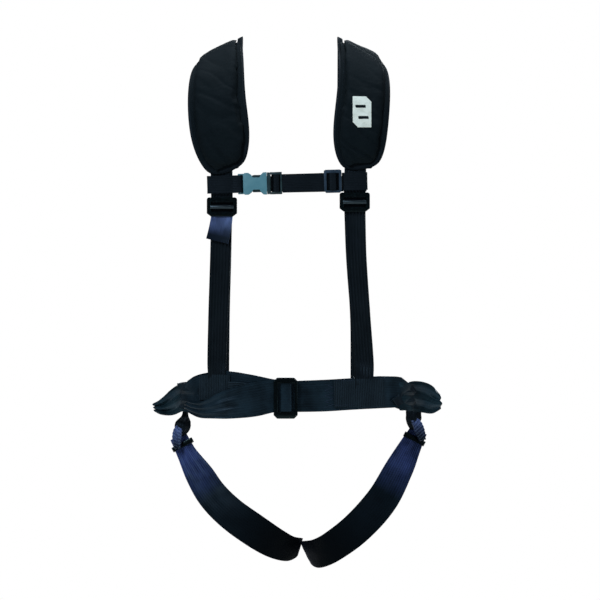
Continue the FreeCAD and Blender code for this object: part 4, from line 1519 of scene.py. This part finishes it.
    def buckle(self) -> None:
        """Waist buckle frame and the webbing folded over its middle bar."""
        hardware("waist_buckle_frame", Finish.STEEL, "waist_buckle", 0.9, reshape=self.slot_ends)
        strap = ChestStrap(middle=(0.0, -115.5, 240.8), lean=0.0, width=39.6)
        run = strap.ring((-22.9, -8.9), (-115.5 - 2.5, -115.5 + 2.5), 1.3, 0.5)
        Webbing(
            "waist_buckle_fold", run, Finish.SATIN, "waist_buckle", ("waist_buckle_wrap",), step=1.2,
            waver=0.5, seed=8.0, turned=False,
        ).make()

    def make(self) -> None:
        """Build the belt's pieces."""
        self.band()
        self.front_layer()
        self.sleeves()
        self.seams()
        self.buckle()


def stitch_object(
    name: str,
    line: Sequence[tuple[Vector, Vector]],
    pitch: float,
    length: float,
    thick: float,
    finish: Finish,
) -> None:
    """Lay stitches along a line and dress them."""
    dress(stitch_row(name, line, pitch, length, thick), finish, "root")


@dataclass(frozen=True)
class HipFold:
    """Belt webbing that stands out from the hip in a gathered fold."""

    side: Side
    # distance across the body, front depth, height of the middle, width and fold depth
    rows: tuple[tuple[float, float, float, float, float], ...]
    middle_y: float = -5.0
    seed: float = 0.0
    depth: float = 1.8  # deepens every fold

    def make(self) -> None:
        """Build the fold as one band out to its tip and back."""
        up = (0.0, 0.0, float(-self.side.sign))
        stations = []
        for x, y, z, width, pleat in self.rows:
            stations.append(Station(self.side.sign * x, y, z, width, up, pleat=self.depth * pleat))
        for x, y, z, width, pleat in reversed(self.rows[:-1]):
            rear = 2 * self.middle_y - y
            stations.append(Station(self.side.sign * x, rear, z, width * 0.94, up, pleat=self.depth * pleat))
        name = f"hip_fold_{self.side.value}"
        Webbing(
            name + "_gathered", Run(stations), Finish.GATHERED, nodes=(name,), waver=4.0, seed=self.seed,
            step=1.5, across_steps=48, pleats=2.2,
        ).make()


# ---------------------------------------------------------------------------------------------
# Leg loops
# ---------------------------------------------------------------------------------------------


@dataclass(frozen=True)
class LegLoop:
    """Leg loop, the folded webbing that hangs it from the belt, and its slide."""

    side: Side
    rows: tuple[tuple[float, float, float, float], ...]
    link: tuple[tuple[float, float, float, float, float], ...]
    tail: tuple[tuple[float, float, float, float], ...]
    centre_y: float = -2.0
    rear_drop: float = 3.0
    rear_narrower: float = 6.0
    wider: float = 3.5  # slack that lets the webbing lie fuller than the design's band
    gather: tuple[float, ...] = (1.3, 1.2, 1.0, 0.6, 0.2)
    end_lean: float = 0.3  # slope of the fold at the crotch

    def half(self, rear: bool) -> list[Station]:
        """Stations of one half of the loop, from the slide to the crotch."""
        points = []
        for i, (x, y, z, width) in enumerate(self.rows):
            pleat = self.gather[i] if i < len(self.gather) else 0.0
            if rear:
                y, z, width = 2 * self.centre_y - y, z - self.rear_drop, width - self.rear_narrower
            wider = self.wider * min(i / 3, 1.0)
            lower = Vector((self.side.sign * 0.62, 0.0, -0.78)) * wider * 0.4
            points.append(Station(x + lower.x, y, z + lower.z, width + wider, pleat=pleat, cup=0.8))
        made = []
        for i, station in enumerate(points):
            ahead, behind = points[min(i + 1, len(points) - 1)], points[max(i - 1, 0)]
            across = Vector((0.0, 1.0, 0.0)).cross(ahead.point - behind.point).normalized()
            made.append(replace(station, across=tuple(across)))
        return made

    def band(self) -> None:
        """One length of webbing round the thigh."""
        front, rear = self.half(False), self.half(True)
        level = Vector((-self.side.sign * self.end_lean, 0.0, 1.0)).normalized()
        if front[-2].across[2] < 0:
            level = -level
        last = self.rows[-1]
        middle = Station(last[0], self.centre_y, last[2] - 1.5, last[3], tuple(level), pleat=0.1)
        side = self.side.value
        Webbing(
            f"leg_loop_{side}_strap", Run(front[:-1] + [middle] + rear[-2::-1]), Finish.PAINTED_SHEEN_AND_SHADE,
            f"leg_loop_{side}", (f"leg_front_{side}", f"leg_rear_{side}"), waver=1.6,
            seed=11.0 + self.side.sign, step=3.0, across_steps=40, pleats=2.0, two_way=True,
        ).make()

    def bundle(self) -> None:
        """Webbing gathered into a rounded knot below the belt."""
        stations = []
        for x, y, z, half_x, half_y in self.link:
            stations.append(Station(self.side.sign * x, y, z, half_x, cup=half_y))
        run = Run(stations)

        def skin(u: float, v: float) -> Vector:
            """Point on the grooved, rounded bundle."""
            place = run.place(u)
            angle = 2 * math.pi * v
            end = min(1.0, (min(u, 1 - u) / 0.06 + 0.02)) ** 0.5
            groove = 1 + 0.09 * math.sin(5 * angle + 3.0 * u) + 0.06 * noise.noise(place.point / 5.0)
            offset = Vector((math.cos(angle) * place.width, math.sin(angle) * place.cup, 0.0))
            return place.point + offset * groove * end

        side = self.side.value
        made = mapped_grid(f"hip_link_{side}_knot", (48, 60), skin, (run.length, 40.0), 0.02)
        close_ends(made)
        settle(made, 80.0)
        dress(made, Finish.FLAT, f"leg_loop_{side}", (f"hip_link_{side}",))

    def folded_end(self) -> None:
        """Short end folded back beside the slide, with slanting creases."""
        stations = []
        for x, y, z, width in self.tail:
            stations.append(Station(self.side.sign * x, y, z, width, cup=1.6))
        side = self.side.value
        Webbing(
            f"leg_tail_{side}_creased", Run(stations), Finish.END, f"leg_loop_{side}",
            (f"leg_tail_{side}",), ruche=1.5, ruche_slant=self.side.sign * 0.7, step=0.5,
            across_steps=16, thickness=2.4,
        ).make()

    def make(self) -> None:
        """Build the leg loop's pieces."""
        side = self.side.value
        self.band()
        self.bundle()
        self.folded_end()
        hardware(f"leg_adjuster_{side}", Finish.STEEL, f"leg_adjuster_{side}", 0.6)


RIGHT_LEG = LegLoop(
    Side.RIGHT,
    (
        (-171.3, -6.0, 183.4, 24.0), (-164.7, -8.0, 171.1, 25.0), (-158.1, -11.0, 158.8, 27.0),
        (-140.3, -28.0, 130.2, 38.0), (-121.4, -48.0, 101.5, 42.0), (-95.9, -65.0, 76.3, 44.0),
        (-63.2, -74.0, 52.8, 45.0), (-33.4, -66.0, 33.8, 42.0), (-11.5, -40.0, 24.5, 35.0),
        (3.5, -4.0, 26.0, 26.0),
    ),
    (
        (161.0, -3, 228, 4, 6), (161.5, -3, 214, 4.5, 6), (164.8, -8, 204, 10.5, 8),
        (165.5, -9, 194, 10.5, 8), (167.0, -5, 183, 5, 6),
    ),
    ((169.5, -14, 198, 9), (172.0, -17, 190, 12), (173, -18, 179, 12), (171.5, -17, 166, 8)),
    wider=2.0,
)
LEFT_LEG = LegLoop(
    Side.LEFT,
    (
        (174.1, -6.0, 192.1, 25.0), (167.0, -8.0, 180.0, 27.0), (160.0, -11.0, 167.8, 30.0),
        (145.0, -27.0, 139.6, 37.0), (120.0, -50.0, 95.1, 42.0), (83.8, -70.0, 55.4, 42.0),
        (46.2, -74.0, 27.3, 40.0), (26.0, -54.0, 18.0, 38.0), (11.5, -4.0, 19.0, 33.0),
    ),
    (
        (165, -3, 230, 8, 6), (166.0, -7, 217, 10.5, 8), (165.8, -8, 206, 10.5, 8),
        (166, -5, 196, 6, 5.5), (166.6, -4, 191.5, 4.2, 4.5),
    ),
    ((167, -14, 208, 9), (171.5, -17, 201, 13), (175.0, -18, 191, 14), (179, -17, 178, 9)),
    end_lean=0.52,
)


# ---------------------------------------------------------------------------------------------
# Back
# ---------------------------------------------------------------------------------------------


@dataclass(frozen=True)
class BackPanel:
    """Cross strap behind the shoulders and the tether loop sewn to it."""

    z: float = 547.5
    width: float = 22.0
    up: tuple[float, float, float] = (0.0, 0.0, 1.0)

    def make(self) -> None:
        """Build the yoke and the loop."""
        yoke = [(-122, 87.0), (-60, 88.6), (-13, 89.0), (40, 88.6), (100, 87.0)]
        loop = [(-37, 91.2), (-31, 99), (-24, 112), (-13, 118.1), (-2, 112), (5, 99), (11, 91.2)]
        for name, rows in (("back_yoke", yoke), ("tether_loop", loop)):
            stations = [Station(x, y, self.z, self.width, self.up) for x, y in reversed(rows)]
            Webbing(
                name + "_webbing", Run(stations), Finish.RIBBED, nodes=(name,), ribs=4,
                rib_height=0.3, step=2.0, seed=13.0,
            ).make()


# ---------------------------------------------------------------------------------------------
# Studio
# ---------------------------------------------------------------------------------------------


@dataclass(frozen=True)
class Lamp:
    """Soft rectangular light."""

    name: str
    place: tuple[float, float, float]
    size: float
    power: float
    tint: tuple[float, float, float] = (0.84, 0.93, 1.0)

    def make(self, target: Vector) -> None:
        """Place the light and aim it at the target."""
        data = bpy.data.lights.new(self.name, "AREA")
        data.shape = "SQUARE"
        data.size = self.size
        data.energy = self.power
        data.color = self.tint
        lamp = bpy.data.objects.new(self.name, data)
        lamp.location = self.place
        lamp.rotation_euler = (target - lamp.location).to_track_quat("-Z", "Y").to_euler()
        bpy.context.scene.collection.objects.link(lamp)


@dataclass(frozen=True)
class Studio:
    """Camera, lights, pale floor and white surroundings."""

    aim: tuple[float, float, float] = (0.00355, 0.0, 0.379)
    distance: float = 9.0
    view_width: float = 0.852
    plane_y: float = -0.1
    floor_z: float = -0.28
    floor_radius: float = 2.4
    sky_seen: float = 1.0
    sky_light: float = 0.1
    sky_tint: tuple[float, float, float, float] = (0.84, 0.93, 1.0, 1.0)
    lamps: tuple[Lamp, ...] = (
        Lamp("key", (-1.5, -2.6, 2.4), 0.9, 58.0),
        Lamp("fill", (1.9, -2.3, 0.9), 1.4, 11.0),
        Lamp("top", (0.1, 0.3, 2.4), 1.2, 24.0),
        Lamp("back", (0.6, 2.6, 1.3), 1.8, 42.0),
    )

    def camera(self) -> None:
        """Level camera straight in front, far enough to flatten the view."""
        data = bpy.data.cameras.new("camera")
        data.sensor_width = 36.0
        data.lens = data.sensor_width * (self.distance + self.plane_y) / self.view_width
        data.clip_end = 100.0
        made = bpy.data.objects.new("camera", data)
        made.location = (self.aim[0], -self.distance, self.aim[2])
        made.rotation_euler = (math.radians(90), 0.0, 0.0)
        bpy.context.scene.collection.objects.link(made)
        bpy.context.scene.camera = made

    def sky(self) -> None:
        """White surroundings, brighter to the eye than to the harness."""
        world = bpy.data.worlds.new("white_surroundings")
        world.use_nodes = True
        tree = world.node_tree
        tree.nodes.clear()
        seen = tree.nodes.new("ShaderNodeLightPath").outputs["Is Camera Ray"]
        mix = tree.nodes.new("ShaderNodeMixShader")
        tree.links.new(seen, mix.inputs[0])
        white = (1.0, 1.0, 1.0, 1.0)
        skies = ((self.sky_tint, self.sky_light), (white, self.sky_seen))
        for number, (colour, strength) in enumerate(skies, 1):
            back = tree.nodes.new("ShaderNodeBackground")
            back.inputs["Color"].default_value = colour
            back.inputs["Strength"].default_value = strength
            tree.links.new(back.outputs[0], mix.inputs[number])
        out = tree.nodes.new("ShaderNodeOutputWorld")
        tree.links.new(mix.outputs[0], out.inputs["Surface"])
        bpy.context.scene.world = world
        bpy.context.scene.view_settings.view_transform = "Standard"

    def floor(self) -> None:
        """Pale paper below the hanging harness."""
        bm = bmesh.new()
        bmesh.ops.create_circle(bm, cap_ends=True, segments=128, radius=self.floor_radius)
        bmesh.ops.translate(bm, vec=(0.0, 0.0, self.floor_z), verts=bm.verts)
        made = make_object("studio_floor", bm)
        made.data.materials.append(PaperFinish().make())

    def make(self) -> None:
        """Build the studio."""
        self.camera()
        self.sky()
        self.floor()
        for lamp in self.lamps:
            lamp.make(Vector((0.0, 0.0, 0.4)))


RIGHT_FOLD = HipFold(
    Side.RIGHT,
    (
        (138, -79.0, 238, 34, 0.2), (150, -68.5, 239, 38, 0.4), (166, -44, 239, 39, 0.8),
        (181, -24, 230.0, 33, 1.4),
        (195, -11.5, 225.6, 21.5, 1.6), (205.5, -5, 225.5, 10, 0.8),
    ),
    seed=21.0,
)
LEFT_FOLD = HipFold(
    Side.LEFT,
    (
        (138, -79.0, 246, 38, 0.2), (150, -68.5, 241, 38, 0.4), (166, -44, 241.5, 43, 0.8),
        (181, -26, 238.8, 42.5, 1.2),
        (195, -13, 233.5, 35, 1.6), (206, -5, 232.5, 19, 0.8),
    ),
    seed=25.0,
)


def build() -> None:
    """Build the harness, the studio and the camera in order."""
    Studio().make()
    for shoulder in (RIGHT_SHOULDER, LEFT_SHOULDER):
        shoulder.make()
    ChestStrap().make()
    Belt().make()
    for fold in (RIGHT_FOLD, LEFT_FOLD):
        fold.make()
    for leg in (RIGHT_LEG, LEFT_LEG):
        leg.make()
    BackPanel().make()


def main() -> None:
    """Build everything."""
    logging.basicConfig(level=logging.INFO, format="%(message)s")
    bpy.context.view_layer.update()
    build()


if __name__ == "__main__":
    main()
